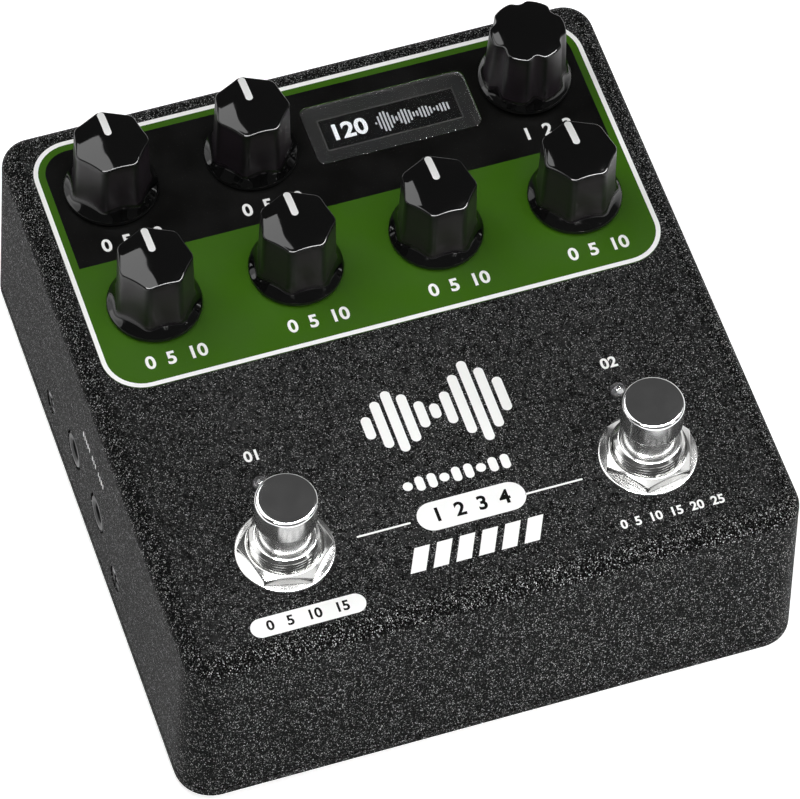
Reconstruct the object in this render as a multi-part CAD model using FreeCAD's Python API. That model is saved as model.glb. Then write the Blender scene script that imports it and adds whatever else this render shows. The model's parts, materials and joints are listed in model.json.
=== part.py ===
import FreeCAD, Part
import math
import os

# A desktop delay and reverb effects pedal, in millimetres.
# The origin is on the surface that the feet stand on, under the middle of the whole part.
# Places below are measured from the middle of the case, which lies a little in front of it,
# because the rear sockets stand out of the case: the finished solids are moved at the end.
# +X is to the player's right, +Y goes away from the player, +Z is up.

# Case
case_width = 110.0
case_depth = 115.7
case_height = 38.9
case_draft = math.radians(1.88)
corner_radius = 6.5
top_edge_radius = 3.4
side_wall = 2.4
top_wall = 3.0
cavity_corner_radius = 4.0
seam_height = 0.5
seam_depth = 0.5

# Base plate, its screws and the feet
plate_thickness = 1.8
plate_edge_radius = 0.5
boss_radius = 3.8
boss_inset = 3.4
plate_screw_radius = 1.5
plate_screw_head_radius = 2.8
plate_screw_head_height = 1.4
plate_screw_length = 12.0
foot_radius = 6.0
foot_height = 1.5
foot_x = 38.0
foot_y = 43.0

# Front label sheet and the display in it
label_width = 99.5
label_depth = 53.1
label_corner_radius = 7.0
label_thickness = 0.25
label_y = 26.0
window_width = 29.7
window_depth = 12.3
window_corner_radius = 1.5
window_recess = 0.8
window_x = 12.9
window_y = 40.9
display_width = 26.6
display_depth = 8.6
display_thickness = 2.0
display_board_gap = 1.5
display_board_depth = 11.5
display_board_thickness = 1.2

# Rotary controls: six potentiometers and one push encoder
encoder_boss_gap = 0.27
rear_row_y = 40.6
front_row_y = 15.35
encoder_y = 41.7
pot_width = 9.8
pot_depth = 11.4
pot_height = 6.8
bush_radius = 3.5
bush_above_top = 3.6
shaft_radius = 3.0
shaft_flat_depth = 1.2
shaft_seat_depth = 4.0
panel_washer_radius = 5.4
panel_washer_thickness = 0.4
panel_nut_width = 10.0
panel_nut_thickness = 1.6
encoder_body_width = 12.4
encoder_body_depth = 13.2
push_plate_radius = 3.4
push_plate_thickness = 0.8
encoder_travel = 0.4
encoder_floor = 0.5

# Knobs
knob_rim_height = 13.7
knob_crown = 1.0
knob_lift = 0.6
knob_sides = 7
knob_corner_radius_top = 6.75
knob_corner_radius_low = 7.15
knob_facet_dish = 0.15
knob_corner_rounding = 1.2
knob_rim_rounding = 0.35
skirt_radius = 8.15
skirt_edge_height = 0.8
skirt_height = 4.4
skirt_top_radius = 5.9
skirt_dish = 0.35
knob_bore_top = 11.6
pointer_width = 1.25
pointer_inner = 0.7
pointer_outer = 6.3
pointer_depth = 0.5
encoder_knob_lift = 1.0
encoder_lobes = 6
encoder_lobe_radius_top = 6.55
encoder_lobe_radius_low = 7.2
flute_radius = 1.3
flute_turn = 28.0

# Foot switches
switch_x = 31.75
switch_y = -38.2
switch_body_size = 16.8
switch_body_height = 14.0
switch_bush_radius = 6.0
switch_bush_above_top = 5.5
switch_bush_chamfer = 0.7
switch_washer_radius = 8.4
switch_washer_thickness = 0.8
switch_nut_width = 14.0
switch_nut_thickness = 2.1
switch_nut_cone_radius = 6.6
switch_nut_cone_slope = math.radians(30)
switch_inner_nut_thickness = 2.2
switch_nut_turns = {"left": 47.0, "right": 10.0}
stem_radius = 4.4
stem_collar_radius = 4.95
stem_collar_height = 1.5
cap_radius = 5.25
cap_height = 5.3
cap_rim_rounding = 0.8
cap_rest_gap = 2.2
switch_travel = 3.0
switch_well_radius = 5.1
spring_closed_height = 4.45
spring_outer_radius = 3.6
spring_inner_radius = 2.8

# Status lamps
led_radius = 1.5
led_x = 31.5
led_y = -24.35
led_above_top = 1.2
led_flange_radius = 1.95
led_flange_height = 1.0
led_lead_size = 0.5
led_lead_pitch = 2.54

# Circuit boards
board_thickness = 1.6
control_board_boss_gap = 1.1
control_board_front_y = 2.0
control_board_rear_gap = 2.7
main_board_top = 11.7
main_board_front_y = -21.0
main_board_side_gap = 1.5
main_board_rear_gap = 0.8
main_board_boss_gap = 0.6
switch_board_boss_gap = 2.1
switch_board_front_gap = 6.2
switch_board_rear_y = -15.5
standoff_width = 5.0
standoff_front_y = 10.8
standoff_jack_gap = 1.2
board_screw_radius = 1.25
board_screw_head_radius = 2.2
board_screw_head_height = 1.3
board_screw_recess = 0.6
board_screw_grip = 5.0
can_radius = 2.6
can_height = 5.8
can_x = 40.0
can_pitch = 9.0
can_jack_gap = 3.6
front_can_places = ((-12, -6), (-3, -6), (22, -12))
control_header_size = (28.0, 5.0)
control_header_inset = 3.0
switch_header_size = (20.0, 4.6)
switch_header_inset = 2.7
display_header_size = (2.6, 10.0)
display_header_inset = 2.0

# Chips on the main board. Those in the rear row keep this gap to the rear jacks:
# place in X, width, depth and height. The others: place in X and Y, width, depth and height.
chip_jack_gap = 1.2
rear_chips = (
    (-12, 14, 14, 1.4),
    (10, 9, 9, 1.2),
)
front_chips = (
    (-30, -4, 6, 5, 1.2),
    (12, -7, 7, 7, 1.0),
    (30, -4, 6.6, 6.6, 3.0),
)

# Small jacks and screws in the left wall
side_jack_ys = (7.6, -5.9)
side_jack_height = 6.0
side_jack_width = 7.6
side_jack_length = 12.0
side_jack_nose_radius = 3.5
side_jack_bore_radius = 1.83
side_jack_bore_depth = 13.0
side_jack_recess = 0.35
side_jack_mouth_bevel = 0.4
side_screw_ys = (21.3, -16.5)
side_screw_z = 9.9
side_screw_radius = 1.25
side_screw_head_radius = 2.2
side_screw_head_height = 0.9
side_screw_recess = 1.1
side_screw_cross_reach = 1.4
side_screw_cross_half = 0.4
side_screw_cross_depth = 0.5
bracket_width = 7.0
bracket_thickness = 1.2
bracket_drop = 5.3
bracket_reach = 8.2

# Sockets in the rear wall
rear_jack_width = 13.5
rear_jack_length = 24.0
rear_jack_height = 13.0
rear_jack_nose_radius = 4.6
rear_jack_bore_radius = 3.2
rear_jack_bore_depth = 26.0
rear_jack_nose_proud = 0.8
rear_washer_radius = 6.8
rear_washer_thickness = 0.5
rear_nut_width = 12.7
rear_nut_thickness = 2.0
dc_x = 5.6
dc_width = 9.0
dc_length = 13.0
dc_height = 11.0
dc_nose_radius = 4.4
dc_bore_radius = 2.85
dc_bore_depth = 9.5
dc_pin_radius = 1.05
dc_pin_length = 8.5
dc_recess = 0.5
usb_x = -5.2
usb_width = 8.94
usb_height = 3.26
usb_wall = 0.35
usb_length = 8.0
usb_tongue_width = 6.7
usb_tongue_thickness = 0.7
usb_tongue_length = 5.0
usb_recess = 0.6

# Clearances
hole_clearance = 0.15
knob_clearance = 0.35
running_clearance = 0.05
thread_clearance = 0.03
seat_gap = 0.05
window_clearance = 0.1

# Levels that follow from the sizes above
plate_bottom = foot_height
plate_top = plate_bottom + plate_thickness
top_plane = plate_bottom + case_height
ceiling = top_plane - top_wall
label_top = top_plane + label_thickness
cavity_half_width = case_width / 2 - case_height * math.tan(case_draft) - side_wall
cavity_half_depth = case_depth / 2 - case_height * math.tan(case_draft) - side_wall
boss_x = cavity_half_width - boss_inset
boss_y = cavity_half_depth - boss_inset
encoder_x = boss_x - boss_radius - encoder_boss_gap - encoder_body_width / 2
control_pitch = encoder_x / 1.5
control_board_width = 2 * (boss_x - boss_radius - control_board_boss_gap)
control_board_rear_y = cavity_half_depth - control_board_rear_gap
control_board_top = ceiling - pot_height
control_board_bottom = control_board_top - board_thickness
main_board_bottom = main_board_top - board_thickness
main_board_width = 2 * (cavity_half_width - main_board_side_gap)
main_board_rear_y = cavity_half_depth - main_board_rear_gap
main_board_notch_x = boss_x - boss_radius - main_board_boss_gap
main_board_notch_y = boss_y - boss_radius - main_board_boss_gap
cap_bottom = top_plane + switch_bush_above_top + switch_travel + cap_rest_gap
cap_top = cap_bottom + cap_height
switch_body_top = ceiling - switch_inner_nut_thickness
switch_well_depth = seat_gap + stem_collar_height + switch_travel + spring_closed_height
switch_body_bottom = switch_body_top - switch_body_height
switch_board_bottom = switch_body_bottom - board_thickness
switch_board_width = 2 * (boss_x - boss_radius - switch_board_boss_gap)
switch_board_front_y = switch_board_front_gap - cavity_half_depth
side_jack_z = main_board_top + side_jack_height / 2
rear_jack_front_y = cavity_half_depth - rear_jack_length
standoff_rear_y = rear_jack_front_y - standoff_jack_gap - standoff_width / 2
can_rear_y = rear_jack_front_y - can_jack_gap - can_radius
rear_jack_z = main_board_top + rear_jack_height / 2
rear_jack_room = boss_x - boss_radius - dc_x - dc_width / 2
rear_jack_gap = (rear_jack_room - 2 * rear_jack_width) / 3
rear_jack_inner_x = dc_x + dc_width / 2 + rear_jack_gap + rear_jack_width / 2
rear_jack_outer_x = rear_jack_inner_x + rear_jack_width + rear_jack_gap
rear_jack_xs = (-rear_jack_outer_x, -rear_jack_inner_x, rear_jack_inner_x, rear_jack_outer_x)
dc_z = main_board_top + dc_height / 2
usb_z = main_board_top + usb_height / 2
display_board_bottom = ceiling - display_board_thickness
display_board_low_x = -0.5 * control_pitch + pot_width / 2 + display_board_gap
display_board_high_x = encoder_x - encoder_body_width / 2 - display_board_gap
display_header_x = display_board_low_x + display_header_inset

# The two rows of rotary controls, by name
pot_places = {
    "bass": (-1.5 * control_pitch, rear_row_y),
    "treble": (-0.5 * control_pitch, rear_row_y),
    "time": (-1.5 * control_pitch, front_row_y),
    "repeat": (-0.5 * control_pitch, front_row_y),
    "level": (0.5 * control_pitch, front_row_y),
    "reverb": (1.5 * control_pitch, front_row_y),
}
encoder_place = (encoder_x, encoder_y)
switch_places = {"left": (-switch_x, switch_y), "right": (switch_x, switch_y)}

UP = FreeCAD.Vector(0, 0, 1)
ALONG_X = FreeCAD.Vector(1, 0, 0)
ALONG_Y = FreeCAD.Vector(0, 1, 0)


def block(x, y, z, width, depth, height):
    """A box centred on x and y, standing on z."""
    return Part.makeBox(width, depth, height, FreeCAD.Vector(x - width / 2, y - depth / 2, z))


def span(low, high):
    """A box between two corners."""
    size = [high[i] - low[i] for i in range(3)]
    return Part.makeBox(size[0], size[1], size[2], FreeCAD.Vector(*low))


def post(x, y, low, high, radius):
    """An upright cylinder between two heights."""
    return Part.makeCylinder(radius, high - low, FreeCAD.Vector(x, y, low), UP)


def rod_x(low, high, y, z, radius):
    """A cylinder along X."""
    return Part.makeCylinder(radius, high - low, FreeCAD.Vector(low, y, z), ALONG_X)


def rod_y(low, high, x, z, radius):
    """A cylinder along Y."""
    return Part.makeCylinder(radius, high - low, FreeCAD.Vector(x, low, z), ALONG_Y)


def hexagon(x, y, low, high, width, turn=0.0):
    """An upright hexagonal prism, given by its width across flats."""
    reach = width / 2 / math.cos(math.pi / 6)
    points = []
    for step in range(7):
        angle = math.radians(turn + 60 * step)
        points.append(FreeCAD.Vector(x + reach * math.cos(angle), y + reach * math.sin(angle), low))
    return Part.Face(Part.makePolygon(points)).extrude(FreeCAD.Vector(0, 0, high - low))


def rounded_outline(x, y, z, width, depth, radius):
    """A closed wire: a rectangle with round corners, level at height z."""
    half_x = width / 2
    half_y = depth / 2
    edges = []
    corners = ((1, 1, 0), (-1, 1, 90), (-1, -1, 180), (1, -1, 270))
    starts = []
    for sign_x, sign_y, angle in corners:
        centre_x = x + sign_x * (half_x - radius)
        centre_y = y + sign_y * (half_y - radius)
        points = []
        for extra in (0, 45, 90):
            turn = math.radians(angle + extra)
            points.append(FreeCAD.Vector(centre_x + radius * math.cos(turn),
                                         centre_y + radius * math.sin(turn), z))
        starts.append(points)
    for index in range(4):
        here = starts[index]
        after = starts[(index + 1) % 4]
        edges.append(Part.Arc(here[0], here[1], here[2]).toShape())
        edges.append(Part.LineSegment(here[2], after[0]).toShape())
    return Part.Wire(edges)


def rounded_slab(x, y, low, high, width, depth, radius):
    """A plate with round corners."""
    face = Part.Face(rounded_outline(x, y, low, width, depth, radius))
    return face.extrude(FreeCAD.Vector(0, 0, high - low))


def case_outline(z):
    """The case's outer outline at height z, drawn in by the draft of its walls."""
    inset = (z - plate_bottom) * math.tan(case_draft)
    return rounded_outline(0, 0, z, case_width - 2 * inset, case_depth - 2 * inset, corner_radius - inset)


def drafted_case(low, high):
    """The case's outer shape between two heights."""
    return Part.makeLoft([case_outline(low), case_outline(high)], True, True)


def level_edges(shape, z):
    """The edges that lie at one height."""
    found = []
    for edge in shape.Edges:
        box = edge.BoundBox
        if abs(box.ZMin - z) < 1e-4 and abs(box.ZMax - z) < 1e-4:
            found.append(edge)
    return found


def outer_wall_x(z):
    """How far the side wall's outer face stands from the middle at height z."""
    return case_width / 2 - (z - plate_bottom) * math.tan(case_draft)


def outer_wall_y(z):
    """How far the rear wall's outer face stands from the middle at height z."""
    return case_depth / 2 - (z - plate_bottom) * math.tan(case_draft)


def spot_face_y(z, radius):
    """The depth of a flat seat of this radius, milled into the drafted rear wall."""
    return outer_wall_y(z + radius) - seat_gap


def boss_places():
    """The four corner bosses."""
    return [(sx * boss_x, sy * boss_y) for sx in (-1, 1) for sy in (-1, 1)]


def case_shell():
    """The cast case: five drafted walls, corner bosses and every hole."""
    outer = drafted_case(plate_top, top_plane)
    outer = outer.makeFillet(top_edge_radius, level_edges(outer, top_plane))
    cavity = rounded_slab(0, 0, plate_top, ceiling, 2 * cavity_half_width, 2 * cavity_half_depth,
                          cavity_corner_radius)
    for x, y in boss_places():
        cavity = cavity.cut(post(x, y, plate_top, ceiling, boss_radius))
    shell = outer.cut(cavity)
    groove = drafted_case(plate_top, plate_top + seam_height)
    groove = groove.cut(rounded_slab(0, 0, plate_top, plate_top + seam_height, case_width - 2 * seam_depth,
                                     case_depth - 2 * seam_depth, corner_radius - seam_depth))
    shell = shell.cut(groove)
    holes = top_holes() + side_holes() + rear_holes() + plate_screw_holes()
    return shell.cut(Part.makeCompound(holes))


def top_holes():
    """The holes in the case's top wall, and the seat of the display window."""
    low = ceiling - 1
    high = top_plane + 1
    holes = []
    for x, y in list(pot_places.values()) + [encoder_place]:
        holes.append(post(x, y, low, high, bush_radius + hole_clearance))
    for x, y in switch_places.values():
        holes.append(post(x, y, low, high, switch_bush_radius + hole_clearance))
    for side in (-1, 1):
        holes.append(post(side * led_x, led_y, low, high, led_radius + hole_clearance))
    holes.append(block(window_x, window_y, low, display_width + 2 * hole_clearance,
                       display_depth + 2 * hole_clearance, high - low))
    holes.append(rounded_slab(window_x, window_y, top_plane - window_recess, high,
                              window_width + 2 * window_clearance, window_depth + 2 * window_clearance,
                              window_corner_radius + window_clearance))
    return holes


def side_holes():
    """The holes for the small jacks and their screws in the left wall."""
    holes = []
    for y in side_jack_ys:
        holes.append(rod_x(-case_width, -cavity_half_width + 1, y, side_jack_z,
                           side_jack_nose_radius + hole_clearance))
    for y in side_screw_ys:
        holes.append(rod_x(-case_width, -cavity_half_width + 1, y, side_screw_z,
                           side_screw_radius + hole_clearance))
        holes.append(rod_x(-case_width, -outer_wall_x(side_screw_z) + side_screw_recess, y, side_screw_z,
                           side_screw_head_radius + hole_clearance))
    return holes


def rear_holes():
    """The holes and milled seats in the rear wall."""
    inside = cavity_half_depth - 1
    holes = []
    for x in rear_jack_xs:
        holes.append(rod_y(inside, case_depth, x, rear_jack_z, rear_jack_nose_radius + hole_clearance))
        seat = rear_washer_radius + 2 * hole_clearance
        holes.append(rod_y(spot_face_y(rear_jack_z, seat), case_depth, x, rear_jack_z, seat))
    holes.append(rod_y(inside, case_depth, dc_x, dc_z, dc_nose_radius + hole_clearance))
    holes.append(usb_outline_bar(inside, case_depth, hole_clearance))
    return holes


def plate_screw_holes():
    """Tapped holes in the corner bosses."""
    top = plate_bottom + plate_screw_length + 1
    return [post(x, y, plate_top, top, plate_screw_radius + thread_clearance) for x, y in boss_places()]


def base_plate():
    """The flat bottom plate, with four countersunk holes."""
    plate = drafted_case(plate_bottom, plate_top)
    plate = plate.makeFillet(plate_edge_radius, level_edges(plate, plate_bottom))
    for x, y in boss_places():
        plate = plate.cut(post(x, y, plate_bottom, plate_top, plate_screw_radius + hole_clearance))
        plate = plate.cut(countersunk_head(x, y, thread_clearance))
    return plate


def countersunk_head(x, y, grow):
    """The cone of a flat screw head, or of the hole that it sits in."""
    return Part.makeCone(plate_screw_head_radius + grow, plate_screw_radius + grow, plate_screw_head_height,
                         FreeCAD.Vector(x, y, plate_bottom), UP)


def cross_recess(x, y, low, high, width):
    """A cross-shaped driver recess, seen from above or below."""
    arm = width / 4
    first = block(x, y, low, width, arm, high - low)
    return first.fuse(block(x, y, low, arm, width, high - low))


def base_plate_screws():
    """Four flat-headed screws that hold the base plate."""
    screws = []
    for x, y in boss_places():
        screw = countersunk_head(x, y, 0)
        screw = screw.fuse(post(x, y, plate_bottom, plate_bottom + plate_screw_length, plate_screw_radius))
        recess = cross_recess(x, y, plate_bottom, plate_bottom + plate_screw_head_height / 2,
                              plate_screw_head_radius)
        screws.append(screw.cut(recess))
    return Part.makeCompound(screws)


def rubber_feet():
    """Four round feet stuck under the base plate."""
    feet = []
    for side_x in (-1, 1):
        for side_y in (-1, 1):
            feet.append(post(side_x * foot_x, side_y * foot_y, 0, foot_height, foot_radius))
    return Part.makeCompound(feet)


def face_label():
    """The printed sheet on the rear half of the top, cut out for the controls and the display."""
    sheet = rounded_slab(0, label_y, top_plane, label_top, label_width, label_depth, label_corner_radius)
    for x, y in list(pot_places.values()) + [encoder_place]:
        sheet = sheet.cut(post(x, y, top_plane, label_top, bush_radius + hole_clearance))
    opening = rounded_slab(window_x, window_y, top_plane, label_top, window_width + 2 * window_clearance,
                           window_depth + 2 * window_clearance, window_corner_radius + window_clearance)
    return sheet.cut(opening)


def display_window():
    """The clear window over the display, flush with the label."""
    return rounded_slab(window_x, window_y, top_plane - window_recess, label_top, window_width, window_depth,
                        window_corner_radius)


def display_panel():
    """The display's glass, in the opening under the window."""
    return block(window_x, window_y, ceiling, display_width, display_depth, display_thickness)


def display_board():
    """The small board behind the display."""
    half = display_board_depth / 2
    return span((display_board_low_x, window_y - half, display_board_bottom),
                (display_board_high_x, window_y + half, ceiling))


def pot_body(x, y):
    """A potentiometer's housing and its threaded bush, open for the shaft."""
    housing = block(x, y, control_board_top, pot_width, pot_depth, pot_height)
    housing = housing.fuse(post(x, y, ceiling, top_plane + bush_above_top, bush_radius))
    return housing.cut(post(x, y, ceiling - shaft_seat_depth, top_plane + bush_above_top,
                            shaft_radius + running_clearance))


def pot_bodies():
    """The six potentiometers, soldered to the control board."""
    return Part.makeCompound([pot_body(x, y) for x, y in pot_places.values()])


def panel_washers():
    """A washer on the label round each control's bush."""
    washers = []
    for x, y in list(pot_places.values()) + [encoder_place]:
        ring = post(x, y, label_top, label_top + panel_washer_thickness, panel_washer_radius)
        washers.append(ring.cut(post(x, y, label_top, label_top + panel_washer_thickness,
                                     bush_radius + running_clearance)))
    return Part.makeCompound(washers)


def panel_nuts():
    """A hexagonal nut on each control's bush."""
    low = label_top + panel_washer_thickness
    nuts = []
    for x, y in list(pot_places.values()) + [encoder_place]:
        nut = hexagon(x, y, low, low + panel_nut_thickness, panel_nut_width)
        nuts.append(nut.cut(post(x, y, low, low + panel_nut_thickness, bush_radius + thread_clearance)))
    return Part.makeCompound(nuts)


def shaft(x, y, low, high, grow=0.0):
    """A control's shaft: round below, with a flat on one side where the knob grips it."""
    flat_from = top_plane + bush_above_top + 2 * seat_gap
    radius = shaft_radius + grow
    whole = post(x, y, low, high, radius)
    flat_y = y - radius + shaft_flat_depth
    flat = span((x - radius, y - radius - 1, flat_from), (x + radius, flat_y, high + 1))
    return whole.cut(flat)


def pot_shaft(x, y):
    """One potentiometer's shaft, from its housing up into the knob."""
    return shaft(x, y, ceiling - shaft_seat_depth + seat_gap, top_plane + knob_bore_top)


def skirt_solid(x, y, low):
    """The flared foot of a knob: an upright edge, then a dished cone up to the grip."""
    rise = skirt_height - skirt_edge_height
    run = skirt_radius - skirt_top_radius
    slope = math.hypot(rise, run)
    middle = ((skirt_radius + skirt_top_radius) / 2 - skirt_dish * rise / slope,
              low + (skirt_edge_height + skirt_height) / 2 - skirt_dish * run / slope)
    foot = FreeCAD.Vector(x + skirt_radius, y, low)
    edge = FreeCAD.Vector(x + skirt_radius, y, low + skirt_edge_height)
    bend = FreeCAD.Vector(x + middle[0], y, middle[1])
    neck = FreeCAD.Vector(x + skirt_top_radius, y, low + skirt_height)
    crown = FreeCAD.Vector(x, y, low + skirt_height)
    base = FreeCAD.Vector(x, y, low)
    profile = Part.Wire([Part.LineSegment(base, foot).toShape(), Part.LineSegment(foot, edge).toShape(),
                         Part.Arc(edge, bend, neck).toShape(), Part.LineSegment(neck, crown).toShape(),
                         Part.LineSegment(crown, base).toShape()])
    return Part.Face(profile).revolve(base, UP, 360)


def faceted_outline(x, y, z, corner_reach):
    """A closed wire with slightly dished sides, one corner at twelve o'clock."""
    step = 2 * math.pi / knob_sides
    middle_reach = corner_reach * math.cos(step / 2) - knob_facet_dish
    edges = []
    for index in range(knob_sides):
        start = math.pi / 2 + index * step
        points = []
        for angle, reach in ((start, corner_reach), (start + step / 2, middle_reach),
                             (start + step, corner_reach)):
            points.append(FreeCAD.Vector(x + reach * math.cos(angle), y + reach * math.sin(angle), z))
        edges.append(Part.Arc(points[0], points[1], points[2]).toShape())
    return Part.Wire(edges)


def upright_edges(shape, low, high):
    """The edges that climb from one height to another."""
    found = []
    for edge in shape.Edges:
        box = edge.BoundBox
        if abs(box.ZMin - low) < 1e-3 and abs(box.ZMax - high) < 1e-3:
            found.append(edge)
    return found


def knob_hollow(x, y, low, travel=0.0):
    """The space under a knob for the nut and the bush, and its bore for the shaft."""
    nut_top = label_top + panel_washer_thickness + panel_nut_thickness
    nut_reach = panel_nut_width / 2 / math.cos(math.pi / 6)
    hollow = post(x, y, low, nut_top + knob_clearance + travel, nut_reach + knob_clearance)
    bush_top = top_plane + bush_above_top
    hollow = hollow.fuse(post(x, y, low, bush_top + knob_clearance + travel, bush_radius + knob_clearance))
    return hollow.fuse(shaft(x, y, low, top_plane + knob_bore_top, thread_clearance))


def crown_ball(x, y, rim):
    """The ball whose upper part is a knob's domed top, with the rim's corners at height rim."""
    radius = (knob_corner_radius_top ** 2 + knob_crown ** 2) / 2 / knob_crown
    return Part.makeSphere(radius, FreeCAD.Vector(x, y, rim + knob_crown - radius))


def rim_edges(shape, rim):
    """The edges round the top of a knob's grip."""
    found = []
    for edge in shape.Edges:
        box = edge.BoundBox
        if box.ZMin <= rim - knob_rim_rounding or box.ZMax >= rim + knob_crown / 2:
            continue
        if box.DiagonalLength > 1e-3:
            found.append(edge)
    return found


def pointer_groove(x, y):
    """The groove for a knob's white line, from near its middle to its rim, open at the top."""
    half = pointer_width / 2
    low = top_plane + knob_rim_height - pointer_depth
    high = top_plane + knob_rim_height + 2 * knob_crown
    groove = span((x - half, y + pointer_inner + half, low), (x + half, y + pointer_outer - half, high))
    for end in (pointer_inner + half, pointer_outer - half):
        groove = groove.fuse(post(x, y + end, low, high, half))
    return groove.removeSplitter()


def pointer_bar(x, y):
    """The white line itself, which fills its groove up to the domed top."""
    return pointer_groove(x, y).common(crown_ball(x, y, top_plane + knob_rim_height))


def pointer_knob(x, y):
    """A knob with dished sides, a flared skirt and a groove for its pointer."""
    low = top_plane + knob_lift
    rim = top_plane + knob_rim_height
    top = rim + knob_crown
    grip = Part.makeLoft([faceted_outline(x, y, low, knob_corner_radius_low),
                          faceted_outline(x, y, top, knob_corner_radius_top)], True, True)
    grip = grip.makeFillet(knob_corner_rounding, upright_edges(grip, low, top))
    grip = grip.common(crown_ball(x, y, rim))
    grip = grip.makeFillet(knob_rim_rounding, rim_edges(grip, rim))
    knob = grip.fuse(skirt_solid(x, y, low))
    knob = knob.cut(knob_hollow(x, y, low))
    return knob.cut(pointer_groove(x, y))


def encoder_knob():
    """The push encoder's knob: six lobes with flutes between them, and the same skirt."""
    x, y = encoder_place
    low = top_plane + encoder_knob_lift
    rim = top_plane + knob_rim_height + encoder_knob_lift - knob_lift
    top = rim + knob_crown
    grip = Part.makeCone(encoder_lobe_radius_low, encoder_lobe_radius_top, top - low,
                         FreeCAD.Vector(x, y, low), UP)
    grip = grip.common(crown_ball(x, y, rim))
    grip = grip.makeFillet(knob_rim_rounding, rim_edges(grip, rim))
    for index in range(encoder_lobes):
        angle = math.radians(flute_turn + 360 / encoder_lobes * index)
        low_point = FreeCAD.Vector(x + encoder_lobe_radius_low * math.cos(angle),
                                   y + encoder_lobe_radius_low * math.sin(angle), low)
        high_point = FreeCAD.Vector(x + encoder_lobe_radius_top * math.cos(angle),
                                    y + encoder_lobe_radius_top * math.sin(angle), top)
        lean = high_point.sub(low_point)
        start = low_point.sub(lean)
        grip = grip.cut(Part.makeCylinder(flute_radius, 3 * lean.Length, start, lean))
    knob = grip.fuse(skirt_solid(x, y, low))
    return knob.cut(knob_hollow(x, y, low, encoder_travel))


def push_plate_low():
    """The height of the encoder's push plate at rest, with its travel below it."""
    return control_board_top + encoder_floor + encoder_travel + seat_gap


def encoder_body():
    """The encoder's housing and bush, with a chamber for its push plate."""
    x, y = encoder_place
    body = block(x, y, control_board_top, encoder_body_width, encoder_body_depth, pot_height)
    body = body.fuse(post(x, y, ceiling, top_plane + bush_above_top, bush_radius))
    chamber_low = push_plate_low() - encoder_travel - seat_gap
    chamber_high = push_plate_low() + push_plate_thickness + seat_gap
    body = body.cut(post(x, y, chamber_low, chamber_high, push_plate_radius + hole_clearance))
    return body.cut(post(x, y, chamber_high, top_plane + bush_above_top, shaft_radius + running_clearance))


def encoder_push_plate():
    """The plate that the encoder's shaft presses down."""
    x, y = encoder_place
    return post(x, y, push_plate_low(), push_plate_low() + push_plate_thickness, push_plate_radius)


def encoder_shaft():
    """The encoder's shaft, from its push plate up into the knob."""
    x, y = encoder_place
    return shaft(x, y, push_plate_low() + push_plate_thickness + seat_gap, top_plane + knob_bore_top)


def footswitch_housing(x, y):
    """A foot switch's housing, with the well that holds its spring."""
    body = block(x, y, switch_body_bottom, switch_body_size, switch_body_size, switch_body_height)
    return body.cut(post(x, y, switch_body_top - switch_well_depth, switch_body_top, switch_well_radius))


def footswitch_bodies():
    """The housings of the two foot switches."""
    return Part.makeCompound([footswitch_housing(x, y) for x, y in switch_places.values()])


def switch_bush(x, y):
    """A foot switch's threaded bush, bevelled at the top."""
    top = top_plane + switch_bush_above_top
    bush = post(x, y, switch_body_top, top, switch_bush_radius)
    bush = bush.makeChamfer(switch_bush_chamfer, level_edges(bush, top))
    return bush.cut(post(x, y, switch_body_top, top, stem_radius + running_clearance))


def footswitch_bushings():
    """The two foot switches' bushes."""
    return Part.makeCompound([switch_bush(x, y) for x, y in switch_places.values()])


def footswitch_washers():
    """The flat round washers on the case's top."""
    washers = []
    top = top_plane + switch_washer_thickness
    for x, y in switch_places.values():
        ring = post(x, y, top_plane, top, switch_washer_radius)
        washers.append(ring.cut(post(x, y, top_plane, top, switch_bush_radius + running_clearance)))
    return Part.makeCompound(washers)


def bevelled_nut(x, y, low, high, width, turn, bore):
    """A hexagonal nut whose upper corners are turned off to a cone."""
    nut = hexagon(x, y, low, high, width, turn)
    reach = width / 2 / math.cos(math.pi / 6)
    drop = (reach - switch_nut_cone_radius) * math.tan(switch_nut_cone_slope)
    cap = post(x, y, low, high - drop, reach)
    cone = Part.makeCone(reach, switch_nut_cone_radius, drop, FreeCAD.Vector(x, y, high - drop), UP)
    nut = nut.common(cap.fuse(cone))
    return nut.cut(post(x, y, low, high, bore))


def footswitch_nuts():
    """The outer nuts of the two foot switches."""
    low = top_plane + switch_washer_thickness
    nuts = []
    for side, (x, y) in switch_places.items():
        nuts.append(bevelled_nut(x, y, low, low + switch_nut_thickness, switch_nut_width,
                                 switch_nut_turns[side], switch_bush_radius + thread_clearance))
    return Part.makeCompound(nuts)


def footswitch_inner_nuts():
    """The nuts under the case's top, which set the height of the foot switches."""
    nuts = []
    for side, (x, y) in switch_places.items():
        nut = hexagon(x, y, switch_body_top, ceiling, switch_nut_width, switch_nut_turns[side])
        nuts.append(nut.cut(post(x, y, switch_body_top, ceiling, switch_bush_radius + thread_clearance)))
    return Part.makeCompound(nuts)


def footswitch_cap(x, y):
    """The plunger that the foot presses: a cap, its stem and the collar that keeps it in."""
    cap = post(x, y, cap_bottom, cap_top, cap_radius)
    cap = cap.makeFillet(cap_rim_rounding, level_edges(cap, cap_top))
    cap = cap.makeFillet(cap_rim_rounding / 2, level_edges(cap, cap_bottom))
    collar_top = switch_body_top - seat_gap
    stem = post(x, y, collar_top - stem_collar_height, cap_bottom + 1, stem_radius)
    collar = post(x, y, collar_top - stem_collar_height, collar_top, stem_collar_radius)
    return cap.fuse([stem, collar]).removeSplitter()


def footswitch_spring(x, y):
    """The return spring's outer shape, between the well's floor and the collar."""
    low = switch_body_top - switch_well_depth
    high = switch_body_top - seat_gap - stem_collar_height
    return post(x, y, low, high, spring_outer_radius).cut(post(x, y, low, high, spring_inner_radius))


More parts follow.
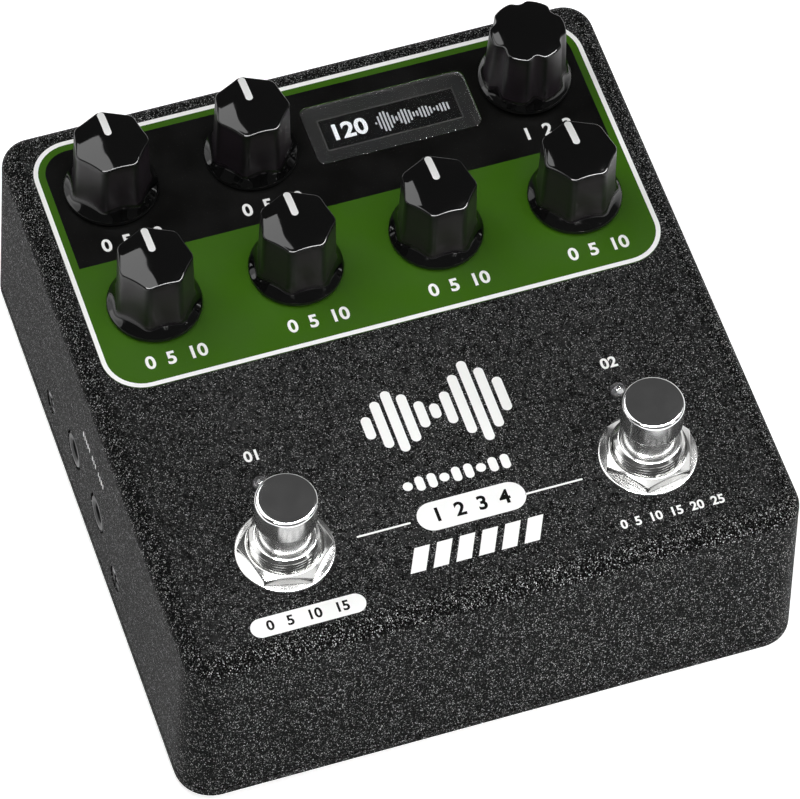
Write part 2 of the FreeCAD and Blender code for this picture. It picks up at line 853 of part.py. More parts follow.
def status_leds():
    """Two round lamps, each on two leads that stand on the switch board."""
    leds = []
    for side in (-1, 1):
        x = side * led_x
        dome = top_plane + led_above_top - led_radius
        led = post(x, led_y, ceiling - led_flange_height, dome, led_radius)
        led = led.fuse(Part.makeSphere(led_radius, FreeCAD.Vector(x, led_y, dome), UP, 0, 90, 360))
        led = led.fuse(post(x, led_y, ceiling - led_flange_height, ceiling, led_flange_radius))
        for shift in (-1, 1):
            led = led.fuse(block(x + shift * led_lead_pitch / 2, led_y, switch_body_bottom, led_lead_size,
                                 led_lead_size, ceiling - led_flange_height / 2 - switch_body_bottom))
        leds.append(led.removeSplitter())
    return Part.makeCompound(leds)


def standoff_places():
    """Where the pillars between the control board and the main board stand."""
    return [(side * control_pitch, y) for side in (-1, 1) for y in (standoff_front_y, standoff_rear_y)]


def control_board():
    """The upper board, which carries the rotary controls."""
    middle = (control_board_front_y + control_board_rear_y) / 2
    board = block(0, middle, control_board_bottom, control_board_width,
                  control_board_rear_y - control_board_front_y, board_thickness)
    for x, y in standoff_places():
        board = board.cut(post(x, y, control_board_bottom, control_board_top,
                               board_screw_radius + hole_clearance))
    return board


def main_board():
    """The lower board, which carries the sockets and the processor."""
    middle = (main_board_front_y + main_board_rear_y) / 2
    board = block(0, middle, main_board_bottom, main_board_width, main_board_rear_y - main_board_front_y,
                  board_thickness)
    for side in (-1, 1):
        far = side * case_width / 2
        near = side * main_board_notch_x
        board = board.cut(span((min(near, far), main_board_notch_y, main_board_bottom),
                               (max(near, far), case_depth / 2, main_board_top)))
    for x, y in standoff_places():
        board = board.cut(post(x, y, main_board_bottom, main_board_top, board_screw_radius + hole_clearance))
    return board


def switch_board():
    """The board under the foot switches, which also carries the lamps."""
    middle = (switch_board_front_y + switch_board_rear_y) / 2
    return block(0, middle, switch_board_bottom, switch_board_width,
                 switch_board_rear_y - switch_board_front_y, board_thickness)


def board_standoffs():
    """Hexagonal pillars between the two larger boards, tapped at both ends."""
    pillars = []
    for x, y in standoff_places():
        pillar = hexagon(x, y, main_board_top, control_board_bottom, standoff_width)
        for low in (main_board_top, control_board_bottom - board_screw_grip):
            high = low + board_screw_grip
            pillar = pillar.cut(post(x, y, low, high, board_screw_radius + thread_clearance))
        pillars.append(pillar)
    return Part.makeCompound(pillars)


def board_screws():
    """A pan-headed screw into each end of each pillar."""
    screws = []
    for x, y in standoff_places():
        upper = post(x, y, control_board_top, control_board_top + board_screw_head_height,
                     board_screw_head_radius)
        upper = upper.fuse(post(x, y, control_board_bottom - board_screw_grip + seat_gap, control_board_top,
                                board_screw_radius))
        lower = post(x, y, main_board_bottom - board_screw_head_height, main_board_bottom,
                     board_screw_head_radius)
        lower = lower.fuse(post(x, y, main_board_bottom, main_board_top + board_screw_grip - seat_gap,
                                board_screw_radius))
        recess_high = control_board_top + board_screw_head_height
        upper = upper.cut(cross_recess(x, y, recess_high - board_screw_recess, recess_high,
                                       board_screw_head_radius))
        recess_low = main_board_bottom - board_screw_head_height
        lower = lower.cut(cross_recess(x, y, recess_low, recess_low + board_screw_recess,
                                       board_screw_head_radius))
        screws += [upper, lower]
    return Part.makeCompound(screws)


def header(x, y, size, low, high):
    """One pin header between two boards."""
    return block(x, y, low, size[0], size[1], high - low)


def board_headers():
    """The pin headers that join the four boards."""
    to_control = header(0, control_board_front_y + control_header_inset, control_header_size,
                        main_board_top, control_board_bottom)
    to_switches = header(0, main_board_front_y + switch_header_inset, switch_header_size,
                         main_board_top, switch_board_bottom)
    to_display = header(display_header_x, window_y, display_header_size,
                        control_board_top, display_board_bottom)
    return Part.makeCompound([to_control, to_switches, to_display])


def board_components():
    """The processor, memory, converters, power parts and can capacitors on the main board."""
    chips = []
    for x, width, depth, height in rear_chips:
        y = rear_jack_front_y - chip_jack_gap - depth / 2
        chips.append(block(x, y, main_board_top, width, depth, height))
    for x, y, width, depth, height in front_chips:
        chips.append(block(x, y, main_board_top, width, depth, height))
    rear_cans = [(can_x, can_rear_y - step * can_pitch) for step in range(3)]
    cans = []
    for x, y in rear_cans + list(front_can_places):
        cans.append(post(x, y, main_board_top, main_board_top + can_height, can_radius))
    return Part.makeCompound(chips + cans)


def side_jack(y):
    """A small jack on the main board, its round nose in the left wall."""
    face = -outer_wall_x(side_jack_z) + side_jack_recess
    jack = span((-cavity_half_width, y - side_jack_width / 2, main_board_top),
                (-cavity_half_width + side_jack_length, y + side_jack_width / 2,
                 main_board_top + side_jack_height))
    jack = jack.fuse(rod_x(face, -cavity_half_width + 1, y, side_jack_z, side_jack_nose_radius))
    jack = jack.cut(rod_x(face, face + side_jack_bore_depth, y, side_jack_z, side_jack_bore_radius))
    mouth = Part.makeCone(side_jack_bore_radius + side_jack_mouth_bevel, side_jack_bore_radius,
                          side_jack_mouth_bevel, FreeCAD.Vector(face, y, side_jack_z), ALONG_X)
    return jack.cut(mouth).removeSplitter()


def side_jacks():
    """The two small jacks on the left."""
    return Part.makeCompound([side_jack(y) for y in side_jack_ys])


def side_brackets():
    """Two angle brackets that tie the main board to the left wall."""
    brackets = []
    edge = -cavity_half_width
    top = main_board_top + bracket_thickness
    for y in side_screw_ys:
        upright = span((edge, y - bracket_width / 2, top - bracket_thickness - bracket_drop),
                       (edge + bracket_thickness, y + bracket_width / 2, top))
        level = span((edge, y - bracket_width / 2, main_board_top),
                     (edge + bracket_reach, y + bracket_width / 2, top))
        bracket = upright.fuse(level).removeSplitter()
        brackets.append(bracket.cut(rod_x(edge - 1, edge + bracket_thickness + 1, y, side_screw_z,
                                          side_screw_radius + thread_clearance)))
    return Part.makeCompound(brackets)


def side_screws():
    """The small cross-recessed screws in the left wall."""
    screws = []
    seat = -outer_wall_x(side_screw_z) + side_screw_recess
    for y in side_screw_ys:
        screw = rod_x(seat - side_screw_head_height, seat, y, side_screw_z, side_screw_head_radius)
        screw = screw.fuse(rod_x(seat, -cavity_half_width + bracket_thickness, y, side_screw_z,
                                 side_screw_radius))
        face = seat - side_screw_head_height
        floor = face + side_screw_cross_depth
        flat = span((face, y - side_screw_cross_reach, side_screw_z - side_screw_cross_half),
                    (floor, y + side_screw_cross_reach, side_screw_z + side_screw_cross_half))
        tall = span((face, y - side_screw_cross_half, side_screw_z - side_screw_cross_reach),
                    (floor, y + side_screw_cross_half, side_screw_z + side_screw_cross_reach))
        screws.append(screw.cut(flat.fuse(tall)))
    return Part.makeCompound(screws)


def rear_jack_seat():
    """The depth of the milled seats in the rear wall."""
    return spot_face_y(rear_jack_z, rear_washer_radius + 2 * hole_clearance)


def rear_jack_tip():
    """How far the rear jacks' noses reach behind the middle of the case."""
    return rear_jack_seat() + rear_washer_thickness + rear_nut_thickness + rear_jack_nose_proud


def rear_jack(x):
    """A full-size jack on the main board, its threaded nose through the rear wall."""
    tip = rear_jack_tip()
    jack = span((x - rear_jack_width / 2, cavity_half_depth - rear_jack_length, main_board_top),
                (x + rear_jack_width / 2, cavity_half_depth, main_board_top + rear_jack_height))
    jack = jack.fuse(rod_y(cavity_half_depth - 1, tip, x, rear_jack_z, rear_jack_nose_radius))
    jack = jack.cut(rod_y(tip - rear_jack_bore_depth, tip, x, rear_jack_z, rear_jack_bore_radius))
    return jack.removeSplitter()


def rear_jacks():
    """The four full-size jacks at the back."""
    return Part.makeCompound([rear_jack(x) for x in rear_jack_xs])


def rear_jack_washers():
    """A washer on each milled seat."""
    seat = rear_jack_seat()
    washers = []
    for x in rear_jack_xs:
        ring = rod_y(seat, seat + rear_washer_thickness, x, rear_jack_z, rear_washer_radius)
        washers.append(ring.cut(rod_y(seat, seat + rear_washer_thickness, x, rear_jack_z,
                                      rear_jack_nose_radius + running_clearance)))
    return Part.makeCompound(washers)


def rear_jack_nuts():
    """A hexagonal nut on each jack's nose."""
    low = rear_jack_seat() + rear_washer_thickness
    nuts = []
    for x in rear_jack_xs:
        nut = hexagon(0, 0, 0, rear_nut_thickness, rear_nut_width, 30)
        nut.rotate(FreeCAD.Vector(0, 0, 0), ALONG_X, -90)
        nut.translate(FreeCAD.Vector(x, low, rear_jack_z))
        nuts.append(nut.cut(rod_y(low, low + rear_nut_thickness, x, rear_jack_z,
                                  rear_jack_nose_radius + thread_clearance)))
    return Part.makeCompound(nuts)


def dc_inlet():
    """The power inlet's housing, its round nose in the rear wall."""
    face = outer_wall_y(dc_z) - dc_recess
    body = span((dc_x - dc_width / 2, cavity_half_depth - dc_length, main_board_top),
                (dc_x + dc_width / 2, cavity_half_depth, main_board_top + dc_height))
    body = body.fuse(rod_y(cavity_half_depth - 1, face, dc_x, dc_z, dc_nose_radius))
    return body.cut(rod_y(face - dc_bore_depth, face, dc_x, dc_z, dc_bore_radius)).removeSplitter()


def dc_inlet_pin():
    """The contact pin in the middle of the power inlet."""
    floor = outer_wall_y(dc_z) - dc_recess - dc_bore_depth
    return rod_y(floor, floor + dc_pin_length, dc_x, dc_z, dc_pin_radius)


def usb_outline_bar(low, high, grow):
    """A bar along Y with the flat, round-ended section of the data socket."""
    height = usb_height + 2 * grow
    straight = usb_width - usb_height
    bar = span((usb_x - straight / 2, low, usb_z - height / 2),
               (usb_x + straight / 2, high, usb_z + height / 2))
    for side in (-1, 1):
        bar = bar.fuse(rod_y(low, high, usb_x + side * straight / 2, usb_z, height / 2))
    return bar.removeSplitter()


def usb_socket():
    """The data socket's metal shell."""
    face = outer_wall_y(usb_z) - usb_recess
    return usb_outline_bar(face - usb_length, face, 0).cut(
        usb_outline_bar(face - usb_length + usb_wall, face, -usb_wall))


def usb_tongue():
    """The contact tongue inside the data socket."""
    floor = outer_wall_y(usb_z) - usb_recess - usb_length + usb_wall
    half = usb_tongue_width / 2
    thin = usb_tongue_thickness / 2
    return span((usb_x - half, floor, usb_z - thin), (usb_x + half, floor + usb_tongue_length, usb_z + thin))


def all_nodes():
    """Every node's name and solid."""
    nodes = {
        "case_shell": case_shell(),
        "base_plate": base_plate(),
        "base_plate_screws": base_plate_screws(),
        "rubber_feet": rubber_feet(),
        "face_label": face_label(),
        "display_window": display_window(),
        "display_panel": display_panel(),
        "display_board": display_board(),
        "pot_bodies": pot_bodies(),
        "panel_washers": panel_washers(),
        "panel_nuts": panel_nuts(),
        "encoder_body": encoder_body(),
        "encoder_push_plate": encoder_push_plate(),
        "encoder_shaft": encoder_shaft(),
        "encoder_knob": encoder_knob(),
        "footswitch_bodies": footswitch_bodies(),
        "footswitch_bushings": footswitch_bushings(),
        "footswitch_washers": footswitch_washers(),
        "footswitch_nuts": footswitch_nuts(),
        "footswitch_inner_nuts": footswitch_inner_nuts(),
        "status_leds": status_leds(),
        "control_board": control_board(),
        "main_board": main_board(),
        "switch_board": switch_board(),
        "board_standoffs": board_standoffs(),
        "board_screws": board_screws(),
        "board_headers": board_headers(),
        "board_components": board_components(),
        "side_jacks": side_jacks(),
        "side_brackets": side_brackets(),
        "side_screws": side_screws(),
        "rear_jacks": rear_jacks(),
        "rear_jack_washers": rear_jack_washers(),
        "rear_jack_nuts": rear_jack_nuts(),
        "dc_inlet": dc_inlet(),
        "dc_inlet_pin": dc_inlet_pin(),
        "usb_socket": usb_socket(),
        "usb_tongue": usb_tongue(),
    }
    for name, (x, y) in pot_places.items():
        nodes["knob_" + name] = pointer_knob(x, y)
        nodes["pointer_" + name] = pointer_bar(x, y)
        nodes["shaft_" + name] = pot_shaft(x, y)
    for side, (x, y) in switch_places.items():
        nodes["footswitch_cap_" + side] = footswitch_cap(x, y)
        nodes["footswitch_spring_" + side] = footswitch_spring(x, y)
    return nodes


os.makedirs("parts", exist_ok=True)
to_middle = FreeCAD.Vector(0, (case_depth / 2 - rear_jack_tip()) / 2, 0)
for name, solid in all_nodes().items():
    solid.translate(to_middle)
    if not solid.isValid() or not solid.Solids:
        raise ValueError(name + " isn't a valid solid")
    solid.exportStep("parts/" + name + ".step")
    print(name, len(solid.Solids), "solids", round(solid.Volume, 1), "mm3")
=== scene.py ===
# %% [markdown]
# The finished look of a desktop delay and reverb pedal, built in Blender around its exact construction.
# The construction already holds every part at its real size, so this file never measures a case or a
# knob again: it asks the frame where things are and adds what a drawing lacks, which is paint, print,
# gloss, rounded rims and threads. The first step loads that frame and notes how large it is.

# %% Load the construction
import json
import math

import bmesh
import bpy
from mathutils import Matrix, Vector


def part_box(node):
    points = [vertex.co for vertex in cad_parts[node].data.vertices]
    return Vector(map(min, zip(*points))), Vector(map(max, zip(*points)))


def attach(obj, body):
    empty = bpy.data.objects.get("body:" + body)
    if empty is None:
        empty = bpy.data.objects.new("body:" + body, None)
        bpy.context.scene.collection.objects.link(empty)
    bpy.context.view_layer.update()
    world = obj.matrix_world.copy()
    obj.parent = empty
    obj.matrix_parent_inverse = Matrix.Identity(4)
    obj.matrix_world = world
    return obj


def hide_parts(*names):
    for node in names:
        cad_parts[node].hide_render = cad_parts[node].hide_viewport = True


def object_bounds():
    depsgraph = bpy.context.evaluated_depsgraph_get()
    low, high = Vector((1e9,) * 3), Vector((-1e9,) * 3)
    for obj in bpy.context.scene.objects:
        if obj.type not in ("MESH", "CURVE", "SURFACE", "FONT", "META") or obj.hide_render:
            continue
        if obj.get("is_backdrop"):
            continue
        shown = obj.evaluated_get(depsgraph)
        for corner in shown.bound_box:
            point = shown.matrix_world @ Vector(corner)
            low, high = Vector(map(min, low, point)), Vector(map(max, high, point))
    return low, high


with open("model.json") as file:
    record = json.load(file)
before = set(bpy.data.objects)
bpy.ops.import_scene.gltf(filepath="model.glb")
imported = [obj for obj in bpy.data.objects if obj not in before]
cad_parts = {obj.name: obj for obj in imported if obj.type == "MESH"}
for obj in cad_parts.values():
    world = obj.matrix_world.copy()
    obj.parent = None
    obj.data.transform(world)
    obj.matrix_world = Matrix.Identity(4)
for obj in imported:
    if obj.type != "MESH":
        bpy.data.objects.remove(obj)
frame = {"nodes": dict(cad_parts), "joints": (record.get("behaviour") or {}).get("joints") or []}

cad_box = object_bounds()

# %% [markdown]
# Blender works in metres, but a pedal is drawn in millimetres, so most sizes below are written in
# millimetres and multiplied once. Every place on the pedal's face is measured from the middle of the
# case and from its flat top, and both come from the frame. The axis of each knob is the axis of its
# joint: reading it there means that a knob can never drift off its shaft.

# %% Places on the pedal
MM = 0.001
case_low, case_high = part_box("case_shell")
MIDDLE_Y = (case_low.y + case_high.y) / 2
TOP = case_high.z
LABEL_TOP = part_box("face_label")[1].z
AXES = {joint["child"]: Vector(joint["pos_m"]) for joint in frame["joints"] if joint["type"] == "hinge"}


def on_face(x, y, height):
    """A point over the case's middle, x and y in millimetres, at a height in metres."""
    return Vector((x * MM, MIDDLE_Y + y * MM, height))


def across_face(point):
    """A point's x and y on the face, in millimetres from the case's middle."""
    return point.x / MM, (point.y - MIDDLE_Y) / MM


def over_case(height):
    """How far a height in metres lies over the case's flat top, in millimetres."""
    return (height - TOP) / MM


def face_rectangle(node):
    """The middle, the width and the depth of a node on the face, in millimetres."""
    low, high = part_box(node)
    middle_x, middle_y = (low.x + high.x) / 2, (low.y + high.y) / 2
    return middle_x / MM, (middle_y - MIDDLE_Y) / MM, (high.x - low.x) / MM, (high.y - low.y) / MM


print("case middle", round(MIDDLE_Y / MM, 3), "top", round(TOP / MM, 2), "label", round(LABEL_TOP / MM, 2))

# %% [markdown]
# The camera stands where the photographer stood: above the front left corner, about a metre away, with
# a long lens that keeps the case's edges nearly parallel. The place and the angles were worked out from
# the case's edges and the label's corners in the picture. A sensor width of 36 mm makes the lens a
# plain focal length.

# %% Camera
CAMERA_PLACE = (-0.20525, -0.54069, 0.87464)
CAMERA_TURN = (33.903, -1.706, -18.456)
CAMERA_LENS = 270.12

camera_data = bpy.data.cameras.new("camera")
camera_data.lens = CAMERA_LENS
camera_data.sensor_width = 36
camera = bpy.data.objects.new("camera", camera_data)
camera.location = CAMERA_PLACE
camera.rotation_euler = [math.radians(angle) for angle in CAMERA_TURN]
bpy.context.scene.collection.objects.link(camera)
bpy.context.scene.camera = camera
bpy.context.scene.view_settings.view_transform = "Standard"
print("camera", CAMERA_LENS, "mm lens at", CAMERA_PLACE)

# %% [markdown]
# Studio light for a small black product has two jobs. One wide softbox over the rear left draws the
# window-shaped highlight on the left of every domed knob, and because it hangs only 36 cm over the pedal,
# that highlight shrinks from the left knobs to the right ones. Panels in front and at the sides give the
# chrome something pale to mirror. A lamp's light and its mirror image can be had one without the other: a
# bright card above draws every rounded rim as one thin line and lights nothing, while a low strip close to
# the front wall lifts that wall and the front edge, fades over the top, and never shows in the gloss. What
# a level face mirrors towards the camera lies behind the pedal, and nothing hangs there, so caps stay deep.

# %% Studio lamps
def add_softbox(name, place, aim, width, height, radiance, mirrored=True, lighting=True):
    """A rectangular lamp at a place, turned to a point. Radiance is how bright its face looks."""
    data = bpy.data.lights.new(name, "AREA")
    data.shape = "RECTANGLE"
    data.size = width
    data.size_y = height
    data.energy = radiance * math.pi * width * height
    lamp = bpy.data.objects.new(name, data)
    lamp.location = place
    lamp.rotation_euler = (Vector(aim) - Vector(place)).to_track_quat("-Z", "Y").to_euler()
    lamp.visible_glossy = mirrored
    lamp.visible_diffuse = lighting
    lamp.visible_camera = False
    bpy.context.scene.collection.objects.link(lamp)
    print(name, round(data.energy, 2), "W")


PEDAL = (0.0, 0.0, 0.04)
add_softbox("key_softbox", (-0.180, 0.160, 0.40), (-0.180, 0.160, 0.0), 0.32, 0.34, 3.2)
add_softbox("front_panel", (0.08, -0.70, 1.20), PEDAL, 1.90, 0.95, 0.8, lighting=False)
add_softbox("small_softbox", (0.64, -0.58, 0.54), PEDAL, 0.24, 0.24, 3.0)
add_softbox("right_softbox", (0.90, -0.10, 0.70), PEDAL, 0.50, 0.50, 1.0)
add_softbox("low_left_softbox", (-0.90, 0.25, 0.25), PEDAL, 0.55, 0.32, 1.2, lighting=False)
add_softbox("rim_card", (0.05, -0.12, 0.98), PEDAL, 1.30, 0.18, 42.0, lighting=False)
add_softbox("near_fill", (0.06, -0.22, 0.13), (0.02, -0.05, 0.03), 0.42, 0.06, 7.8, mirrored=False)
add_softbox("top_fill", (-0.10, 0.10, 1.30), PEDAL, 0.60, 0.60, 2.2, mirrored=False)

# %% [markdown]
# A finish has two halves. The shader itself, with its plain colour and roughness, belongs to one
# material. The irregular part, such as grain or scratches, is wanted in many materials at different
# strengths, so it is a node group with named inputs, built once. These small helpers add nodes and wire
# them by name, which keeps the recipes below short enough to read.

# %% Node helpers
def feed(tree, source, target, label):
    """Wires an output, or sets a plain value, on a node's input found by name or number."""
    if isinstance(source, (int, float, tuple)):
        target.inputs[label].default_value = source
    else:
        tree.links.new(source, target.inputs[label])


def add_node(tree, kind, sources=None, **settings):
    """A node with some of its properties set and some of its inputs fed."""
    node = tree.nodes.new("ShaderNode" + kind)
    for label, value in settings.items():
        setattr(node, label, value)
    for label, source in (sources or {}).items():
        feed(tree, source, node, label)
    return node


def arithmetic(tree, operation, first, second=0.0, addend=0.0, clamp=False):
    """One sum on two numbers, or three for a multiply and add; returns its output."""
    numbers = {0: first, 1: second, 2: addend}
    return add_node(tree, "Math", numbers, operation=operation, use_clamp=clamp).outputs[0]


def product(tree, first, second, clamp=False):
    """Two numbers or masks multiplied; returns the output."""
    return arithmetic(tree, "MULTIPLY", first, second, clamp=clamp)


def stretch_range(tree, value, low, high, to_low=0.0, to_high=1.0):
    """Maps a value between two limits to two others; returns the output."""
    limits = {"Value": value, "From Min": low, "From Max": high, "To Min": to_low, "To Max": to_high}
    return add_node(tree, "MapRange", limits).outputs["Result"]


def split(tree, vector):
    """The X, Y and Z outputs of a vector."""
    return add_node(tree, "SeparateXYZ", {"Vector": vector}).outputs


def upward_share(tree):
    """How far the surface faces up: 1 on a level face and 0 on a wall."""
    return split(tree, add_node(tree, "NewGeometry").outputs["Normal"])["Z"]


def millimetres(tree, across=1.0, deep=1.0, tall=1.0):
    """The surface point in the piece's own millimetres, stretched along each axis."""
    point = add_node(tree, "TexCoord").outputs["Object"]
    scale = (across / MM, deep / MM, tall / MM)
    return add_node(tree, "VectorMath", {0: point, 1: scale}, operation="MULTIPLY").outputs["Vector"]


def noise(tree, place, scale, detail=2.0, roughness=0.5):
    """Smooth noise between about 0.3 and 0.7; returns its output."""
    sources = {"Vector": place, "Scale": scale, "Detail": detail, "Roughness": roughness}
    return add_node(tree, "TexNoise", sources).outputs["Fac"]


def new_group(name, inputs, outputs):
    """An empty node group with number inputs and number outputs."""
    group = bpy.data.node_groups.new(name, "ShaderNodeTree")
    for label, value in inputs.items():
        socket = group.interface.new_socket(label, in_out="INPUT", socket_type="NodeSocketFloat")
        socket.default_value = value
    for label in outputs:
        group.interface.new_socket(label, in_out="OUTPUT", socket_type="NodeSocketFloat")
    entry = group.nodes.new("NodeGroupInput")
    result = group.nodes.new("NodeGroupOutput")
    return group, entry.outputs, result


print("node helpers ready")

# %% [markdown]
# The room itself is dark and only a sheet of white paper stands behind the table. The camera sees white
# wherever it looks past the floor. Polished metal and clear plastic see the paper too, low down and
# behind, but nothing of it lights a painted surface: that work is left to the lamps.

# %% Dark room with white paper behind
ROOM_LEVEL = 0.07
PAPER_LOW, PAPER_HIGH = 0.14, 0.30
PAPER_EDGE = 0.15
world = bpy.data.worlds.new("studio")
bpy.context.scene.world = world
world.use_nodes = True
room = world.node_tree
background = room.nodes["Background"]
background.inputs["Color"].default_value = (1, 1, 1, 1)

direction = split(room, add_node(room, "TexCoord").outputs["Generated"])
low_down = stretch_range(room, direction["Z"], PAPER_LOW, PAPER_HIGH, 1.0, 0.0)
behind = stretch_range(room, direction["Y"], -PAPER_EDGE, PAPER_EDGE)
paper = product(room, low_down, behind, clamp=True)
rays = add_node(room, "LightPath").outputs
in_gloss = arithmetic(room, "ADD", rays["Is Glossy Ray"], rays["Is Transmission Ray"], clamp=True)
paper_in_gloss = product(room, in_gloss, paper, clamp=True)
white = arithmetic(room, "ADD", rays["Is Camera Ray"], paper_in_gloss, clamp=True)
feed(room, stretch_range(room, white, 0.0, 1.0, ROOM_LEVEL, 1.0), background, "Strength")
print("room level", ROOM_LEVEL)

# %% [markdown]
# Nothing cast, moulded or sprayed is quite flat. A mould passes on the texture of its own steel, and a
# baked powder never flows out fully. Noise at the grain's own size, three to five grains to the
# millimetre, gives that relief.

# %% Grain of cast, moulded and coated surfaces
def make_grain_group():
    """Relief of a grainy finish."""
    group, given, result = new_group("grain", {"Grains per mm": 2.0}, ["Height"])
    feed(group, noise(group, millimetres(group), given["Grains per mm"], 3.0, 0.65), result, "Height")
    return group


GRAIN = make_grain_group()
print("group:", GRAIN.name)

# %% [markdown]
# The coat also sparkles, up close and from a step away. Each grain sits at its own angle, and the glint
# that angle would give is painted into the grain's colour as painted highlights, so of two neighbours one
# is nearly black and the other pale. A Voronoi texture gives every cell one random number, which is just
# this: a lot drawn once per grain. The cells are an eighth of a millimetre wide, so that from a step away
# they melt into charcoal and only the palest still show. Powder runs down a little before it sets, so on
# the walls the grains are taller than wide.

# %% Separate grains of powder coat
GRAIN_STRETCH = 0.62


def make_powder_group():
    """A brightness of its own for every grain, used as painted glints, and the grains' round relief."""
    group, given, result = new_group("powder", {"Grains per mm": 5.0}, ["Level", "Height"])
    sources = {"Vector": millimetres(group, tall=GRAIN_STRETCH), "Scale": given["Grains per mm"]}
    cells = add_node(group, "TexVoronoi", sources).outputs
    # Painted glints: each cell's random number becomes its grain's brightness.
    glint_lot = add_node(group, "SeparateColor", {"Color": cells["Color"]}).outputs["Red"]
    feed(group, glint_lot, result, "Level")
    feed(group, arithmetic(group, "SUBTRACT", 1.0, cells["Distance"]), result, "Height")
    return group


POWDER = make_powder_group()
print("group:", POWDER.name)

# %% [markdown]
# Handling leaves fine scratches that run mostly one way, and a rolled sheet has faint lines along its
# length. Both are noise squeezed hard across one axis and drawn out along another. The group returns
# the lines as a relief, which a print or a plate uses, and as a mask, which roughens a polished metal.

# %% Scratches and rolled lines
def make_scratch_group():
    """Fine lines along X, with a slower change of strength over the surface."""
    group, given, result = new_group("scratches", {"Lines per mm": 6.0, "Coverage": 0.5}, ["Height", "Mask"])
    lines = noise(group, millimetres(group, across=0.04), given["Lines per mm"], 3.0, 0.7)
    patches = noise(group, millimetres(group), 0.08, 2.0, 0.5)
    threshold = stretch_range(group, given["Coverage"], 0.0, 1.0, 0.70, 0.35)
    strength = product(group, arithmetic(group, "SUBTRACT", patches, threshold), 5.0, clamp=True)
    sharp = product(group, arithmetic(group, "SUBTRACT", lines, 0.52), 8.0, clamp=True)
    feed(group, lines, result, "Height")
    feed(group, product(group, sharp, strength), result, "Mask")
    return group


SCRATCHES = make_scratch_group()
print("group:", SCRATCHES.name)

# %% [markdown]
# Nuts, washers and caps are turned on a lathe, which leaves rings too fine to count but wide enough to
# stretch a highlight. The rings belong to each piece's own axis. Every turned piece below is modelled
# round its own origin, so the distance from that origin is all that the pattern needs.

# %% Tool marks of turned metal
def make_turning_group():
    """Concentric rings round the piece's own upright axis."""
    group, given, result = new_group("turning", {"Rings per mm": 8.0}, ["Height"])
    place = millimetres(group)
    flat = add_node(group, "VectorMath", {0: place, 1: (1, 1, 0)}, operation="MULTIPLY").outputs["Vector"]
    reach = add_node(group, "VectorMath", {0: flat}, operation="LENGTH").outputs["Value"]
    along = arithmetic(group, "ADD", reach, split(group, place)["Z"])
    sources = {"W": along, "Scale": given["Rings per mm"], "Detail": 2.0}
    rings = add_node(group, "TexNoise", sources, noise_dimensions="1D")
    feed(group, rings.outputs["Fac"], result, "Height")
    return group


TURNING = make_turning_group()
print("group:", TURNING.name)

# %% [markdown]
# Wear starts at edges, where a finger or a sleeve rubs, and dust settles on what faces up. Cycles can
# tell how sharply a surface bends at a point, which finds the edges, and the normal's upward share
# finds the ledges. Both are broken up with noise, because neither is ever even.

# %% Edge wear, settled dust and smudges
def make_edge_group():
    """A mask that is strong along outer edges."""
    group, given, result = new_group("edge_wear", {"Amount": 0.5}, ["Mask"])
    edge = stretch_range(group, add_node(group, "NewGeometry").outputs["Pointiness"], 0.52, 0.62)
    broken = stretch_range(group, noise(group, millimetres(group), 1.2, 4.0, 0.6), 0.40, 0.62)
    worn = product(group, product(group, edge, broken), given["Amount"], clamp=True)
    feed(group, worn, result, "Mask")
    return group


def make_dust_group():
    """Settled specks on upward faces, and slow smudges everywhere."""
    group, given, result = new_group("dust", {"Amount": 0.2, "Smudge Size": 0.15}, ["Specks", "Smudge"])
    upward = stretch_range(group, upward_share(group), 0.6, 0.95)
    specks = stretch_range(group, noise(group, millimetres(group), 3.1, 0.0, 0.5), 0.72, 0.80)
    feed(group, product(group, product(group, specks, upward), given["Amount"]), result, "Specks")
    feed(group, noise(group, millimetres(group), given["Smudge Size"], 3.0, 0.55), result, "Smudge")
    return group


EDGE_WEAR = make_edge_group()
DUST = make_dust_group()
print("groups:", EDGE_WEAR.name, DUST.name)

# %% [markdown]
# A material helper starts each finish from the same plain base: one colour, one roughness and one
# metallic value, all set on the shader itself. Relief then goes through a Bump node whose distance is in
# metres, so a grain five hundredths of a millimetre deep is written as exactly that.

# %% Material helpers
def grey(level):
    """A neutral colour."""
    return (level, level, level)


def new_finish(name, colour, roughness, metallic=0.0, **plain):
    """A material with a plain Principled shader; returns the material, its tree and the shader."""
    material = bpy.data.materials.new(name)
    material.use_nodes = True
    shader = material.node_tree.nodes["Principled BSDF"]
    values = {"Base Color": (*colour, 1), "Roughness": roughness, "Metallic": metallic, **plain}
    for label, value in values.items():
        shader.inputs[label.replace("_", " ")].default_value = value
    return material, material.node_tree, shader


def use_group(tree, group, **values):
    """A group in a material, with its own input values; returns its outputs."""
    sources = {label.replace("_", " "): value for label, value in values.items()}
    return add_node(tree, "Group", sources, node_tree=group).outputs


def emboss(tree, shader, height, depth):
    """Feeds a relief of a depth in metres to the shader's normal, over any relief it has already."""
    bump = add_node(tree, "Bump", {"Distance": depth, "Height": height})
    previous = shader.inputs["Normal"].links
    if previous:
        tree.links.new(previous[0].from_socket, bump.inputs["Normal"])
    tree.links.new(bump.outputs["Normal"], shader.inputs["Normal"])


def blend_colour(tree, mask, first, second):
    """A colour between two, by a mask; either may be a colour or another output."""
    first, second = [(*colour, 1) if isinstance(colour, tuple) else colour for colour in (first, second)]
    return add_node(tree, "Mix", {"Factor": mask, 6: first, 7: second}, data_type="RGBA").outputs[2]


def by_smudges(tree, dust, low=0.0, high=1.0):
    """A value that follows the smudges between two limits."""
    return stretch_range(tree, dust["Smudge"], 0.35, 0.65, low, high)


def vary_roughness(tree, shader, dust, low, high):
    """Roughness that follows the smudges between two limits."""
    feed(tree, by_smudges(tree, dust, low, high), shader, "Roughness")


